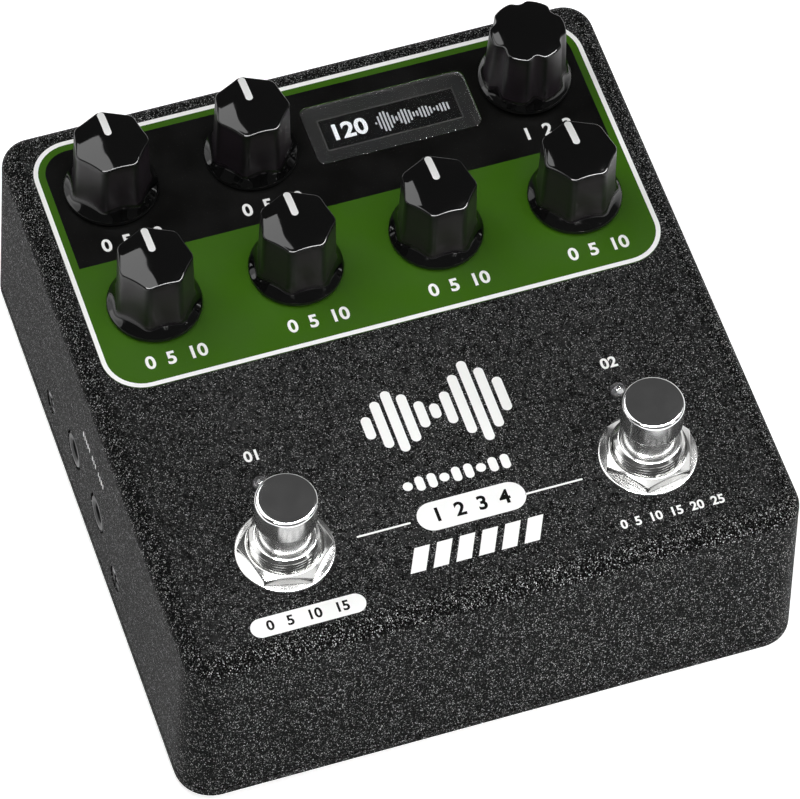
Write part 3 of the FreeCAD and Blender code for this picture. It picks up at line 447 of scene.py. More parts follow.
def settle_dust(tree, shader, dust, colour, dust_colour=(0.30, 0.30, 0.28)):
    """The shader's colour, with specks of dust on what faces up."""
    feed(tree, blend_colour(tree, dust["Specks"], colour, dust_colour), shader, "Base Color")


print("material helpers ready")

# %% [markdown]
# The case and its base plate wear the black powder coat. Most grains on the real one are nearly black,
# and the pale ones, painted glints, are rare and far paler, so that even where several grains share one
# dot of the picture it still sparkles. A high power of the grain's own lot does that: it leaves nearly
# every grain dark and lifts only the luckiest few. The rounded edges, which the normal's upward share
# finds, have their grains painted a little paler than the walls and the top: painted light for the light
# those edges catch.

# %% Powder coat
EDGE_PAINTED_LIGHT_GAIN = 1.5


def powder_coat(name, darkest, brightest_glint, rarity, grains_per_mm):
    """Black sparkling powder coat: grains between two levels, the pale ones painted glints, rarer with more
    rarity, and paler still as painted light on rounded edges.
    """
    material, tree, shader = new_finish(name, grey(darkest), 0.5, Specular_IOR_Level=0.02)
    powder = use_group(tree, POWDER, Grains_per_mm=grains_per_mm)
    grain = use_group(tree, GRAIN, Grains_per_mm=0.5 * grains_per_mm)
    dust = use_group(tree, DUST, Amount=0.1, Smudge_Size=0.05)
    edges = use_group(tree, EDGE_WEAR, Amount=0.2)
    # Painted light: on the rounded edges between wall and top, the palest grains are up to half again as
    # pale.
    upward = upward_share(tree)
    off_walls = stretch_range(tree, upward, 0.05, 0.30)
    off_top = stretch_range(tree, upward, 0.99, 0.92)
    edge_painted_light = product(tree, off_walls, off_top)
    palest = stretch_range(tree, edge_painted_light, 0.0, 1.0, brightest_glint, EDGE_PAINTED_LIGHT_GAIN * brightest_glint)
    # Painted glints: a high power of each grain's lot leaves the pale grains rare.
    glint_lot = arithmetic(tree, "POWER", powder["Level"], rarity)
    level = stretch_range(tree, glint_lot, 0.0, 1.0, darkest, palest)
    settle_dust(tree, shader, dust, blend_colour(tree, edges["Mask"], level, grey(0.12)))
    feed(tree, stretch_range(tree, powder["Level"], 0.0, 1.0, 0.62, 0.40), shader, "Roughness")
    emboss(tree, shader, grain["Height"], 0.06 * MM)
    emboss(tree, shader, powder["Height"], 0.02 * MM)
    return material


CASE_PAINT = powder_coat("case_powder_coat", 0.0008, 0.50, 17.0, 7.6)
print("finish:", CASE_PAINT.name)

# %% [markdown]
# The label is a printed plastic sheet. Its green is deep and even, its sheen is silky, and the black
# band over its rear half shows faint lines along its length. White ink lies on both. Ink is a little
# thinner in places, so its brightness drifts by a few percent.

# %% Printed label and inks
def printed_sheet(name, colour, darker, roughness, line_depth, shine):
    """Ink on a plastic sheet: a colour that drifts a little, silky, with faint rolled lines."""
    material, tree, shader = new_finish(name, colour, roughness, Specular_IOR_Level=shine)
    dust = use_group(tree, DUST, Amount=0.02, Smudge_Size=0.12)
    lines = use_group(tree, SCRATCHES, Lines_per_mm=4.0, Coverage=0.8)
    tinted = blend_colour(tree, by_smudges(tree, dust), colour, darker)
    settle_dust(tree, shader, dust, tinted, (0.35, 0.35, 0.33))
    vary_roughness(tree, shader, dust, roughness - 0.05, roughness + 0.07)
    emboss(tree, shader, lines["Height"], line_depth)
    return material


LABEL_GREEN = printed_sheet("label_green", (0.038, 0.118, 0.0028), (0.036, 0.112, 0.0026), 0.40,
                            0.002 * MM, 0.06)
LABEL_BLACK = printed_sheet("label_black", (0.0028, 0.0028, 0.0025), (0.0038, 0.0038, 0.0035), 0.36,
                            0.008 * MM, 0.04)
INK_WHITE = printed_sheet("white_ink", (0.95, 0.95, 0.94), (0.92, 0.92, 0.91), 0.45, 0.003 * MM, 0.4)
print("finishes:", LABEL_GREEN.name, LABEL_BLACK.name, INK_WHITE.name)

# %% [markdown]
# Everything moulded that isn't a knob is duller: jack and switch housings, shafts and feet. One recipe
# makes them all, with a fine mould grain, a gloss that wanders and edges that are slightly rubbed. The
# white line on each knob is paint in a groove, and takes the same recipe in white.

# %% Moulded plastics and rubber
def moulded(name, colour, smooth, rough, grain_per_mm, depth, rub=grey(0.05)):
    """Moulded plastic or rubber: fine grain, smudges in its gloss, slightly rubbed edges."""
    material, tree, shader = new_finish(name, colour, smooth)
    grain = use_group(tree, GRAIN, Grains_per_mm=grain_per_mm)
    dust = use_group(tree, DUST, Amount=0.12, Smudge_Size=0.4)
    edges = use_group(tree, EDGE_WEAR, Amount=0.3)
    settle_dust(tree, shader, dust, blend_colour(tree, edges["Mask"], colour, rub))
    vary_roughness(tree, shader, dust, smooth, rough)
    emboss(tree, shader, grain["Height"], depth)
    return material


HOUSING_PLASTIC = moulded("housing_black", (0.02, 0.02, 0.022), 0.35, 0.50, 4.0, 0.01 * MM)
JACK_PLASTIC = moulded("jack_black", (0.012, 0.012, 0.013), 0.28, 0.40, 5.0, 0.006 * MM)
RING_GREY = moulded("jack_ring_grey", grey(0.026), 0.40, 0.55, 5.0, 0.006 * MM)
SHAFT_PLASTIC = moulded("shaft_grey", grey(0.25), 0.30, 0.45, 4.0, 0.004 * MM, grey(0.4))
FOOT_RUBBER = moulded("foot_rubber", grey(0.018), 0.65, 0.85, 3.0, 0.03 * MM)
POINTER_PAINT = moulded("pointer_white", (0.84, 0.84, 0.83), 0.30, 0.45, 4.0, 0.004 * MM, grey(0.9))
print("finishes: six moulded plastics and rubbers")

# %% [markdown]
# The knobs are moulded in hard black plastic, glossy enough to mirror a softbox with crisp edges. No
# moulding is quite flat, though, so a slow relief a tenth of a millimetre deep makes those edges wander.
# The upright sides are satin, and away from their corners they are painted a paler grey as painted sheen,
# while the corners between them keep the black of the gloss. The upward share of the normal finds the
# sides and the sharpness of the bend finds the corners, so one material serves the whole moulding.

# %% Gloss of the knobs
def polished_knob(name, gloss, satin):
    """Hard gloss plastic, faintly wavy, satin on the upright sides, whose grey between the corners is
    painted sheen.
    """
    material, tree, shader = new_finish(name, gloss, 0.05)
    dust = use_group(tree, DUST, Amount=0.0, Smudge_Size=0.35)
    upright = stretch_range(tree, upward_share(tree), 0.22, 0.50, 1.0, 0.0)
    bend = add_node(tree, "NewGeometry").outputs["Pointiness"]
    # Painted sheen: the paler grey on the upright sides, away from the corners, stands in for the light they
    # catch.
    rubbed = product(tree, upright, stretch_range(tree, bend, 0.502, 0.515, 1.0, 0.0))
    feed(tree, blend_colour(tree, rubbed, gloss, satin), shader, "Base Color")
    shine = by_smudges(tree, dust, 0.035, 0.06)
    feed(tree, arithmetic(tree, "MULTIPLY_ADD", upright, 0.30, shine), shader, "Roughness")
    emboss(tree, shader, noise(tree, millimetres(tree), 0.22, 0.0), 0.12 * MM)
    return material


KNOB_PLASTIC = polished_knob("knob_black", grey(0.0030), (0.0110, 0.0072, 0.0105))
print("finish:", KNOB_PLASTIC.name)

# %% [markdown]
# Two metals show. The foot switches are bright chrome over turned brass, and the nuts, jack noses and
# screws are plated steel. Both are the same recipe with other numbers: a metal whose relief is either
# lathe rings or fine lines, with a gloss that wanders a little where it was touched. A cap's side is
# polished less than its top, so the recipe can make upright faces more satin.

# %% Metals
def plated(name, colour, smooth, rough, rings_per_mm, ring_depth, line_depth=0.0, upright_satin=0.0):
    """Bright metal with tool rings, faint lines and smudges; its upright sides may be more satin."""
    material, tree, shader = new_finish(name, colour, smooth, 1.0)
    dust = use_group(tree, DUST, Amount=0.15, Smudge_Size=0.35)
    turning = use_group(tree, TURNING, Rings_per_mm=rings_per_mm)
    lines = use_group(tree, SCRATCHES, Lines_per_mm=9.0, Coverage=0.5)
    edges = use_group(tree, EDGE_WEAR, Amount=0.4)
    brighter = tuple(min(1.0, level * 1.15) for level in colour)
    feed(tree, blend_colour(tree, edges["Mask"], colour, brighter), shader, "Base Color")
    satin = stretch_range(tree, upward_share(tree), 0.02, 0.12, upright_satin, 0.0)
    gloss = arithmetic(tree, "ADD", by_smudges(tree, dust, smooth, rough), satin)
    scratched = product(tree, lines["Mask"], 0.06)
    feed(tree, arithmetic(tree, "ADD", gloss, scratched), shader, "Roughness")
    emboss(tree, shader, turning["Height"], ring_depth)
    if line_depth:
        emboss(tree, shader, lines["Height"], line_depth)
    return material


BRIGHT_CHROME = plated("bright_chrome", grey(0.80), 0.06, 0.10, 7.0, 0.0008 * MM, 0.0, 0.15)
TURNED_CHROME = plated("turned_chrome", (0.74, 0.74, 0.73), 0.12, 0.20, 5.0, 0.008 * MM)
WASHER_STEEL = plated("washer_steel", (0.74, 0.74, 0.73), 0.14, 0.26, 4.0, 0.010 * MM, 0.004 * MM)
PLATED_STEEL = plated("plated_steel", (0.62, 0.62, 0.60), 0.16, 0.26, 6.0, 0.003 * MM, 0.002 * MM)
DARK_STEEL = plated("black_steel", (0.045, 0.045, 0.047), 0.22, 0.34, 5.0, 0.004 * MM, 0.003 * MM)
SPRING_STEEL = plated("spring_steel", (0.50, 0.50, 0.52), 0.20, 0.30, 6.0, 0.002 * MM, 0.003 * MM)
BRASS = plated("turned_brass", (0.62, 0.45, 0.20), 0.18, 0.30, 6.0, 0.003 * MM, 0.002 * MM)
print("finishes: seven metals")

# %% [markdown]
# Circuit boards are glass cloth under green lacquer. The woven cloth just shows through as a fine
# square lattice, so the lattice tints the lacquer and lifts its surface a hair.

# %% Circuit board lacquer
def board_lacquer(name, colour, weave_colour, threads_per_mm):
    """Green lacquer over a woven glass board."""
    material, tree, shader = new_finish(name, colour, 0.30)
    axes = split(tree, millimetres(tree))
    waves = [arithmetic(tree, "SINE", product(tree, axes[axis], threads_per_mm)) for axis in ("X", "Y")]
    weave = stretch_range(tree, product(tree, *waves), -1.0, 1.0)
    feed(tree, blend_colour(tree, weave, colour, weave_colour), shader, "Base Color")
    dust = use_group(tree, DUST, Amount=0.2, Smudge_Size=0.2)
    vary_roughness(tree, shader, dust, 0.24, 0.40)
    emboss(tree, shader, weave, 0.004 * MM)
    return material


BOARD_LAMINATE = board_lacquer("board_lacquer", (0.012, 0.07, 0.025), (0.018, 0.09, 0.032), 9.0)
print("finish:", BOARD_LAMINATE.name)

# %% [markdown]
# Clear, dark and lit finishes remain: the window over the display and the lamps' resin, the dark glass,
# mask and frame behind the window with the grey parts inside a lamp, and the display's pixels. Glass keeps
# a plain metallic and transmission value, and only its gloss varies.

# %% Clear and lit finishes
def clear_resin(name, colour, roughness, refraction):
    """Clear moulded resin or window plastic, with faint surface marks."""
    material, tree, shader = new_finish(name, colour, roughness, Transmission_Weight=1.0, IOR=refraction)
    dust = use_group(tree, DUST, Amount=0.1, Smudge_Size=0.3)
    lines = use_group(tree, SCRATCHES, Lines_per_mm=5.0, Coverage=0.3)
    smudged = by_smudges(tree, dust, roughness, roughness + 0.03)
    scratched = product(tree, lines["Mask"], 0.04)
    feed(tree, arithmetic(tree, "ADD", smudged, scratched), shader, "Roughness")
    return material


def dark_glass(name, colour, smooth, rough, shine):
    """Dark display glass, a printed mask behind the window, or the parts inside a lamp."""
    material, tree, shader = new_finish(name, colour, smooth, Specular_IOR_Level=shine)
    dust = use_group(tree, DUST, Amount=0.1, Smudge_Size=0.25)
    vary_roughness(tree, shader, dust, smooth, rough)
    settle_dust(tree, shader, dust, colour, grey(0.1))
    return material


def lit_pixels(name, colour, level, pixels_per_mm):
    """Lit display pixels: a fine dark lattice between bright dots."""
    material, tree, shader = new_finish(name, grey(0.02), 0.4)
    place = millimetres(tree, pixels_per_mm, pixels_per_mm, pixels_per_mm)
    cell = split(tree, add_node(tree, "VectorMath", {0: place}, operation="FRACTION").outputs["Vector"])
    inside = []
    for axis in ("X", "Y"):
        centred = arithmetic(tree, "ABSOLUTE", arithmetic(tree, "SUBTRACT", cell[axis], 0.5))
        inside.append(stretch_range(tree, centred, 0.46, 0.38))
    feed(tree, blend_colour(tree, product(tree, *inside), grey(0.05), colour), shader, "Emission Color")
    shader.inputs["Emission Strength"].default_value = level
    return material


CORE_GREY = dark_glass("lamp_core_grey", (0.045, 0.045, 0.046), 0.35, 0.50, 0.2)
CHIP_PALE = dark_glass("lamp_chip_pale", (0.34, 0.34, 0.33), 0.35, 0.50, 0.2)
WINDOW_CLEAR = clear_resin("window_clear", grey(0.95), 0.02, 1.49)
LAMP_RESIN = clear_resin("lamp_resin", (0.93, 0.93, 0.94), 0.02, 1.52)
DISPLAY_GLASS = dark_glass("display_glass", grey(0.0015), 0.12, 0.20, 0.1)
MASK_BLACK = dark_glass("mask_black", grey(0.0085), 0.30, 0.40, 0.08)
FRAME_GREY = dark_glass("frame_grey", grey(0.040), 0.30, 0.40, 0.08)
PIXEL_WHITE = lit_pixels("pixels_white", (0.95, 0.97, 1.0), 1.3, 5.5)
PIXEL_GREY = lit_pixels("pixels_grey", (0.55, 0.57, 0.60), 1.1, 5.5)
print("finishes: window, lamp resin and core, display glass, mask, frame and pixels")

# %% [markdown]
# Every piece of the construction arrives with a placeholder material that names its finish. This step
# swaps each placeholder for the real finish and rounds the sharp machined edges with a bevel modifier,
# which leaves the exact mesh underneath untouched. Only pieces with machined edges in sight get one.

# %% Dress the construction
FINISHES = {
    "case_paint": CASE_PAINT, "dark_steel": DARK_STEEL, "foot_rubber": FOOT_RUBBER,
    "label_print": LABEL_GREEN, "window_plastic": WINDOW_CLEAR, "display_glass": DISPLAY_GLASS,
    "board_laminate": BOARD_LAMINATE, "housing_plastic": HOUSING_PLASTIC, "plated_steel": PLATED_STEEL,
    "shaft_plastic": SHAFT_PLASTIC, "knob_plastic": KNOB_PLASTIC, "pointer_paint": POINTER_PAINT,
    "bright_chrome": BRIGHT_CHROME, "spring_steel": SPRING_STEEL, "lamp_resin": LAMP_RESIN,
    "brass_pillar": BRASS, "jack_plastic": JACK_PLASTIC,
}
EDGE_ROUNDING = {
    "panel_nuts": 0.12, "panel_washers": 0.06, "rear_jack_nuts": 0.15, "rear_jack_washers": 0.08,
    "side_jacks": 0.12, "rear_jacks": 0.15, "dc_inlet": 0.15, "usb_socket": 0.06, "side_screws": 0.12,
    "base_plate_screws": 0.10, "usb_tongue": 0.06, "dc_inlet_pin": 0.2,
}


def round_edges(node, width):
    """A bevel modifier of a width in millimetres along the sharp edges."""
    bevel = node.modifiers.new("soft_edges", "BEVEL")
    bevel.width = width * MM
    bevel.segments = 3
    bevel.limit_method = "ANGLE"
    bevel.angle_limit = math.radians(35)
    bevel.harden_normals = False


for label, node in frame["nodes"].items():
    for place in node.material_slots:
        finish = FINISHES[place.material.name]
        place.link = "OBJECT"
        place.material = finish
    if label in EDGE_ROUNDING:
        round_edges(node, EDGE_ROUNDING[label])
print("dressed", len(frame["nodes"]), "nodes,", len(EDGE_ROUNDING), "of them with rounded edges")

# %% [markdown]
# Everything that the construction lacks is a new piece: a mesh with one finish, which rides on a body of
# the construction, so that a knob's pieces turn with the knob. A piece that is shown in place of a node of
# the construction says so, and the node's own mesh is then hidden.

# %% Show a new piece
def show_piece(name, mesh, body, finish, place=(0, 0, 0), smooth=38, stands_for=None):
    """Shows a mesh as one piece that rides on a body, in place of a node if it stands for one."""
    mesh.name = name
    mesh.validate()
    mesh.shade_smooth()
    mesh.set_sharp_from_angle(angle=math.radians(smooth))
    mesh.materials.append(finish)
    piece = bpy.data.objects.new(name, mesh)
    piece.location = place
    bpy.context.scene.collection.objects.link(piece)
    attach(piece, body)
    if stands_for:
        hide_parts(stands_for)


# %% [markdown]
# Anything turned, moulded or lofted is a stack of rings of points, joined by faces. Equal reaches make a
# lathe's round, and a reach of its own for each direction makes a grip or a nut. Real edges are never
# sharp, so the corners of a profile are given with the size of their rounding.

# %% Meshes from rings
def face_outward(mesh):
    """Welds a mesh's points and turns all its faces outward."""
    work = bmesh.new()
    work.from_mesh(mesh)
    bmesh.ops.remove_doubles(work, verts=work.verts, dist=1e-7)
    bmesh.ops.recalc_face_normals(work, faces=work.faces)
    work.to_mesh(mesh)
    work.free()
    return mesh


def stack_rings(rings):
    """A closed mesh over rings of points; a ring of one point closes an end."""
    points = list(rings[0])
    faces = []
    low = 0
    for ring, following in zip(rings, rings[1:]):
        high = len(points)
        points += following
        count = max(len(ring), len(following))
        for step in range(count):
            after = (step + 1) % count
            face = [low + step % len(ring), low + after % len(ring), high + after % len(following),
                    high + step % len(following)]
            faces.append(list(dict.fromkeys(face)))
        low = high
    mesh = bpy.data.meshes.new("rings")
    mesh.from_pydata(points, [], faces)
    return face_outward(mesh)


def around(steps):
    """Even directions round an axis, in radians."""
    return [2 * math.pi * step / steps for step in range(steps)]


def shaped_ring(reaches, height):
    """A level ring of points, or one that follows a list of heights, for a reach in each direction."""
    heights = height if isinstance(height, list) else [height] * len(reaches)
    return [(reach * MM * math.cos(turn), reach * MM * math.sin(turn), level * MM)
            for turn, reach, level in zip(around(len(reaches)), reaches, heights)]


def round_ring(radius, height, steps=96):
    """A level circle of points, or one point where the radius is nothing."""
    return shaped_ring([radius] * steps, height) if radius > 0 else [(0, 0, height * MM)]


def soften(corners, steps):
    """A profile of (radius, height) points from corners given with the size of their rounding."""
    path = []
    for index, (radius, height, rounding) in enumerate(corners):
        here = Vector((radius, height))
        if not rounding:
            path.append(here)
            continue
        before = Vector(corners[index - 1][:2])
        after = Vector(corners[index + 1][:2])
        start = here + (before - here).normalized() * rounding
        end = here + (after - here).normalized() * rounding
        for step in range(steps + 1):
            share = step / steps
            path.append(start * (1 - share) ** 2 + here * 2 * share * (1 - share) + end * share ** 2)
    return path


def turned(corners, steps=96, rounding_steps=4):
    """A lathe-turned mesh from profile corners (radius, height, rounding), in millimetres."""
    profile = soften(corners, rounding_steps)
    return stack_rings([round_ring(radius, height, steps) for radius, height in profile])


print("ring helpers ready")

# %% [markdown]
# Anything printed or cut from sheet is a flat outline. Blender's curves fill outlines, with holes, and its
# text is a curve too, so both are drawn in millimetres on the face and then lifted to their height. One
# mesh can hold several sheets, as one print does.

# %% Meshes from flat outlines
def lift_curve(curve, low, high):
    """Turns a flat curve or text, drawn in millimetres, into a welded sheet between two heights."""
    curve.extrude = 0.5
    holder = bpy.data.objects.new(curve.name, curve)
    mesh = bpy.data.meshes.new_from_object(holder)
    bpy.data.objects.remove(holder)
    mesh.transform(Matrix.Diagonal((MM, MM, high - low, 1)))
    mesh.transform(Matrix.Translation((0, MIDDLE_Y, (low + high) / 2)))
    return face_outward(mesh)


def flat_sheet(outlines, low, high):
    """A sheet between two heights, in metres; outlines in millimetres, one inside another is a hole."""
    curve = bpy.data.curves.new("outlines", "CURVE")
    curve.dimensions = "2D"
    curve.fill_mode = "BOTH"
    for outline in outlines:
        spline = curve.splines.new("POLY")
        spline.points.add(len(outline) - 1)
        for point, (x, y) in zip(spline.points, outline):
            point.co = (x, y, 0, 1)
        spline.use_cyclic_u = True
    return lift_curve(curve, low, high)


def numerals(text, x, y, size, low, high):
    """Plain numbers centred on a point, as a thin sheet; their strokes are a little heavier than drawn."""
    words = bpy.data.curves.new("numbers", "FONT")
    words.body = text
    words.size = size
    words.align_x = "CENTER"
    words.align_y = "CENTER"
    words.offset = 0.028 * size
    mesh = lift_curve(words, low, high)
    mesh.transform(Matrix.Translation((x * MM, y * MM, 0)))
    return mesh


def join_meshes(meshes):
    """One mesh from several."""
    work = bmesh.new()
    for mesh in meshes:
        work.from_mesh(mesh)
        bpy.data.meshes.remove(mesh)
    joined = bpy.data.meshes.new("joined")
    work.to_mesh(joined)
    work.free()
    return joined


def rounded_box(x, y, width, depth, corner, steps=10):
    """A rectangle's outline in millimetres, its corners rounded alike or by four radii."""
    radii = corner if isinstance(corner, tuple) else (corner,) * 4
    points = []
    for index, (sign_x, sign_y) in enumerate(((1, 1), (-1, 1), (-1, -1), (1, -1))):
        radius = radii[index]
        centre_x = x + sign_x * (width / 2 - radius)
        centre_y = y + sign_y * (depth / 2 - radius)
        for step in range(steps + 1 if radius else 1):
            turn = math.radians(90 * (index + step / steps))
            points.append((centre_x + radius * math.cos(turn), centre_y + radius * math.sin(turn)))
    return points


print("outline helpers ready")

# %% [markdown]
# The black band and the white outline are separate layers of ink on the green sheet. Each is a sheet a
# few hundredths of a millimetre thick, cut out round the knobs' washers and the window. The outline
# follows the sheet's own rounded corners, and the band has square lower corners and round upper ones.

# %% Ink layers on the label
INK = 0.015 * MM
LABEL_X, LABEL_Y, LABEL_WIDTH, LABEL_DEPTH = face_rectangle("face_label")
WINDOW_X, WINDOW_Y, WINDOW_WIDTH, WINDOW_DEPTH = face_rectangle("display_window")
LABEL_CORNER = 7.0
OUTLINE_WIDTH = 0.8
GREEN_MARGIN = 1.25
BAND_INSET = OUTLINE_WIDTH + GREEN_MARGIN
BAND_FRONT = 26.0
BAND_REAR = LABEL_Y + LABEL_DEPTH / 2 - BAND_INSET
HOLE_RADIUS = 5.45
HOLE_STEPS = 48


def label_outline(inset):
    """The label's outline, drawn in by an inset in millimetres."""
    width, depth = LABEL_WIDTH - 2 * inset, LABEL_DEPTH - 2 * inset
    return rounded_box(LABEL_X, LABEL_Y, width, depth, LABEL_CORNER - inset)


def show_ink(name, mesh, ink):
    """Shows a sheet of ink as a piece of the case."""
    show_piece(name, mesh, "case", ink)


white_line = [label_outline(0.0), label_outline(OUTLINE_WIDTH)]
show_ink("label_outline", flat_sheet(white_line, LABEL_TOP, LABEL_TOP + INK), INK_WHITE)

band_corner = LABEL_CORNER - BAND_INSET
band = [rounded_box(LABEL_X, (BAND_REAR + BAND_FRONT) / 2, LABEL_WIDTH - 2 * BAND_INSET,
                    BAND_REAR - BAND_FRONT, (band_corner, band_corner, 0, 0)),
        rounded_box(WINDOW_X, WINDOW_Y, WINDOW_WIDTH + 0.2, WINDOW_DEPTH + 0.2, 1.6)]
for axis in AXES.values():
    x, y = across_face(axis)
    if y > BAND_FRONT:
        band.append([(x + HOLE_RADIUS * math.cos(turn), y + HOLE_RADIUS * math.sin(turn))
                     for turn in around(HOLE_STEPS)])
show_ink("label_band", flat_sheet(band, LABEL_TOP, LABEL_TOP + INK), LABEL_BLACK)
print("band from", BAND_FRONT, "to", round(BAND_REAR, 2), "mm")

# %% [markdown]
# Plain dial numbers stand below every knob. The places above the foot switches hold 01 and 02, and a row
# of small numbers lies below the right one. They are drawn with the typeface that comes with Blender and
# turned into thin raised ink, with strokes a little heavier than drawn, as printed ones are.

# %% Numbers by the controls
NUMBER_DROP = 11.4
NUMBER_ASIDE = 0.4
NUMBER_SIZE = 3.5
KNOB_NUMBERS = "0  5  10"
ENCODER_NUMBERS = "1  2  3"
SWITCH_NUMBERS = (
    ("01", -31.2, -18.75, 2.9),
    ("02", 31.8, -18.75, 2.9),
    ("0  5  10  15  20  25", 32.0, -50.0, 2.35),
)

label_numbers = []
for body, axis in AXES.items():
    x, y = across_face(axis)
    text = ENCODER_NUMBERS if body == "encoder_control" else KNOB_NUMBERS
    label_numbers.append(numerals(text, x + NUMBER_ASIDE, y - NUMBER_DROP, NUMBER_SIZE, LABEL_TOP + INK,
                                  LABEL_TOP + 2 * INK))
show_ink("label_numbers", join_meshes(label_numbers), INK_WHITE)
switch_numbers = [numerals(*row, TOP, TOP + INK) for row in SWITCH_NUMBERS]
show_ink("switch_numbers", join_meshes(switch_numbers), INK_WHITE)
print("numbers at", len(AXES), "controls, and", len(SWITCH_NUMBERS), "rows by the switches")

# %% [markdown]
# The middle of the front half carries a plain white motif: bars like those of a sound meter, in two
# bursts. Below it lie a row of short bars and dots, a pill, two thin lines beside it, and a row of slanted
# stripes, and another pill lies below the left switch. All are outlines in one sheet of ink, and the
# numbers on the pills are a second sheet in black.

# %% Plain marks on the case
METER_X, METER_Y, METER_PITCH, METER_BAR = 0.8, -19.2, 2.36, 1.72
METER_HEIGHTS = (4.6, 9.6, 12.6, 9.8, 5.4, 3.0, 6.6, 12.2, 16.6, 12.4, 7.0)
DOTS_X, DOTS_Y, DOT_PITCH, DOT_COUNT = -8.4, -32.2, 2.14, 9
STRIPES_X, STRIPES_Y, STRIPES_WIDTH, STRIPES_HEIGHT = -0.4, -46.3, 26.0, 4.6
STRIPE_COUNT, STRIPE_LEAN, STRIPE_SHARE = 6, 2.2, 0.68
PILL = (0.45, -39.0, 18.9, 5.6)
PILL_NUMBERS = ("1  2  3  4", 3.7)
CORNER_PILL = (-31.9, -51.2, 19.8, 3.7)
CORNER_PILL_NUMBERS = ("0   5   10   15", 2.6)
SIDE_LINES = ((-14.9, -39.1, 9.4, 0.36), (14.8, -39.4, 10.1, 0.36))


def bar(x, y, width, depth):
    """A bar with round ends."""
    return rounded_box(x, y, width, depth, min(width, depth) / 2, 8)


first_bar = METER_X - METER_PITCH * (len(METER_HEIGHTS) - 1) / 2
marks = [bar(first_bar + METER_PITCH * index, METER_Y, METER_BAR, height)
         for index, height in enumerate(METER_HEIGHTS)]
marks += [bar(DOTS_X + DOT_PITCH * index, DOTS_Y, 1.5 if index % 3 else 1.7, 2.9 if index % 3 else 1.7)
          for index in range(DOT_COUNT)]
marks += [bar(*sizes) for sizes in (PILL, *SIDE_LINES)]
front, rear = STRIPES_Y - STRIPES_HEIGHT / 2, STRIPES_Y + STRIPES_HEIGHT / 2
for index in range(STRIPE_COUNT):
    pitch = (STRIPES_WIDTH - STRIPE_LEAN) / STRIPE_COUNT
    left = STRIPES_X - STRIPES_WIDTH / 2 + pitch * index
    right = left + STRIPE_SHARE * pitch
    marks.append([(left, front), (right, front), (right + STRIPE_LEAN, rear), (left + STRIPE_LEAN, rear)])
marks.append(bar(*CORNER_PILL))
show_ink("case_print", flat_sheet(marks, TOP, TOP + INK), INK_WHITE)
pill_numbers = [numerals(text, *pill[:2], size, TOP + INK, TOP + 2 * INK)
                for pill, (text, size) in ((PILL, PILL_NUMBERS), (CORNER_PILL, CORNER_PILL_NUMBERS))]
show_ink("pill_numbers", join_meshes(pill_numbers), LABEL_BLACK)
print("case print:", len(marks), "outlines")

# %% [markdown]
# The display sits under a clear window. From the top down there is the window slab, a black mask
# printed on its underside with an opening, and the display's dark glass with lit pixels. The window
# here is a real slab of clear plastic, so its gloss and the depth under it come from the shader.

# %% Display window, mask and pixels
WINDOW_FLOOR, WINDOW_TOP = [corner.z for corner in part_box("display_window")]
WINDOW_RIM = 0.05
MASK_THICKNESS = 0.04 * MM
PIXEL_LAYER = 0.02 * MM
ACTIVE = (12.85, 40.9, 24.25, 6.35)
FRAME_LINE = 0.25
TRACE_START, TRACE_PITCH, TRACE_BARS = 9.6, 0.62, 22


def rounded_slab(outline, low, high, rim):
    """A slab whose upper edge is rounded by a rim, in millimetres; heights in metres."""
    middle = Vector((sum(x for x, _ in outline) / len(outline), sum(y for _, y in outline) / len(outline)))
    half_x = max(x for x, _ in outline) - middle.x
    half_y = max(y for _, y in outline) - middle.y
    levels = [(0.0, low)]
    for step in range(5):
        turn = math.radians(90 * step / 4)
        levels.append((rim * (1 - math.cos(turn)), high - rim * MM * (1 - math.sin(turn))))
    rings = []
    for inset, height in levels:
        shrink_x, shrink_y = (half_x - inset) / half_x, (half_y - inset) / half_y
        rings.append([on_face(middle.x + (x - middle.x) * shrink_x, middle.y + (y - middle.y) * shrink_y,
                              height) for x, y in outline])
    return stack_rings([[on_face(*middle, low)]] + rings + [[on_face(*middle, high)]])


def show_layer(name, outlines, low, thickness, finish):
    """Shows a thin layer of the display, its outlines in millimetres and its heights in metres."""
    show_piece(name, flat_sheet(outlines, low, low + thickness), "case", finish)


slab = rounded_slab(rounded_box(WINDOW_X, WINDOW_Y, WINDOW_WIDTH, WINDOW_DEPTH, 1.5),
                    WINDOW_FLOOR + 2 * MASK_THICKNESS, WINDOW_TOP, WINDOW_RIM)
show_piece("window_slab", slab, "case", WINDOW_CLEAR, smooth=60,
           stands_for="display_window")

active_x, active_y, active_width, active_depth = ACTIVE
opening = rounded_box(*ACTIVE, 0.2)
mask = rounded_box(WINDOW_X, WINDOW_Y, WINDOW_WIDTH - 0.1, WINDOW_DEPTH - 0.1, 1.4)
show_layer("window_mask", [mask, opening], WINDOW_FLOOR, MASK_THICKNESS, MASK_BLACK)
frame_line = rounded_box(active_x, active_y, active_width + 2 * FRAME_LINE,
                         active_depth + 2 * FRAME_LINE, 0.3)
show_layer("window_frame_line", [frame_line, opening], WINDOW_FLOOR + MASK_THICKNESS, MASK_THICKNESS / 2,
           FRAME_GREY)

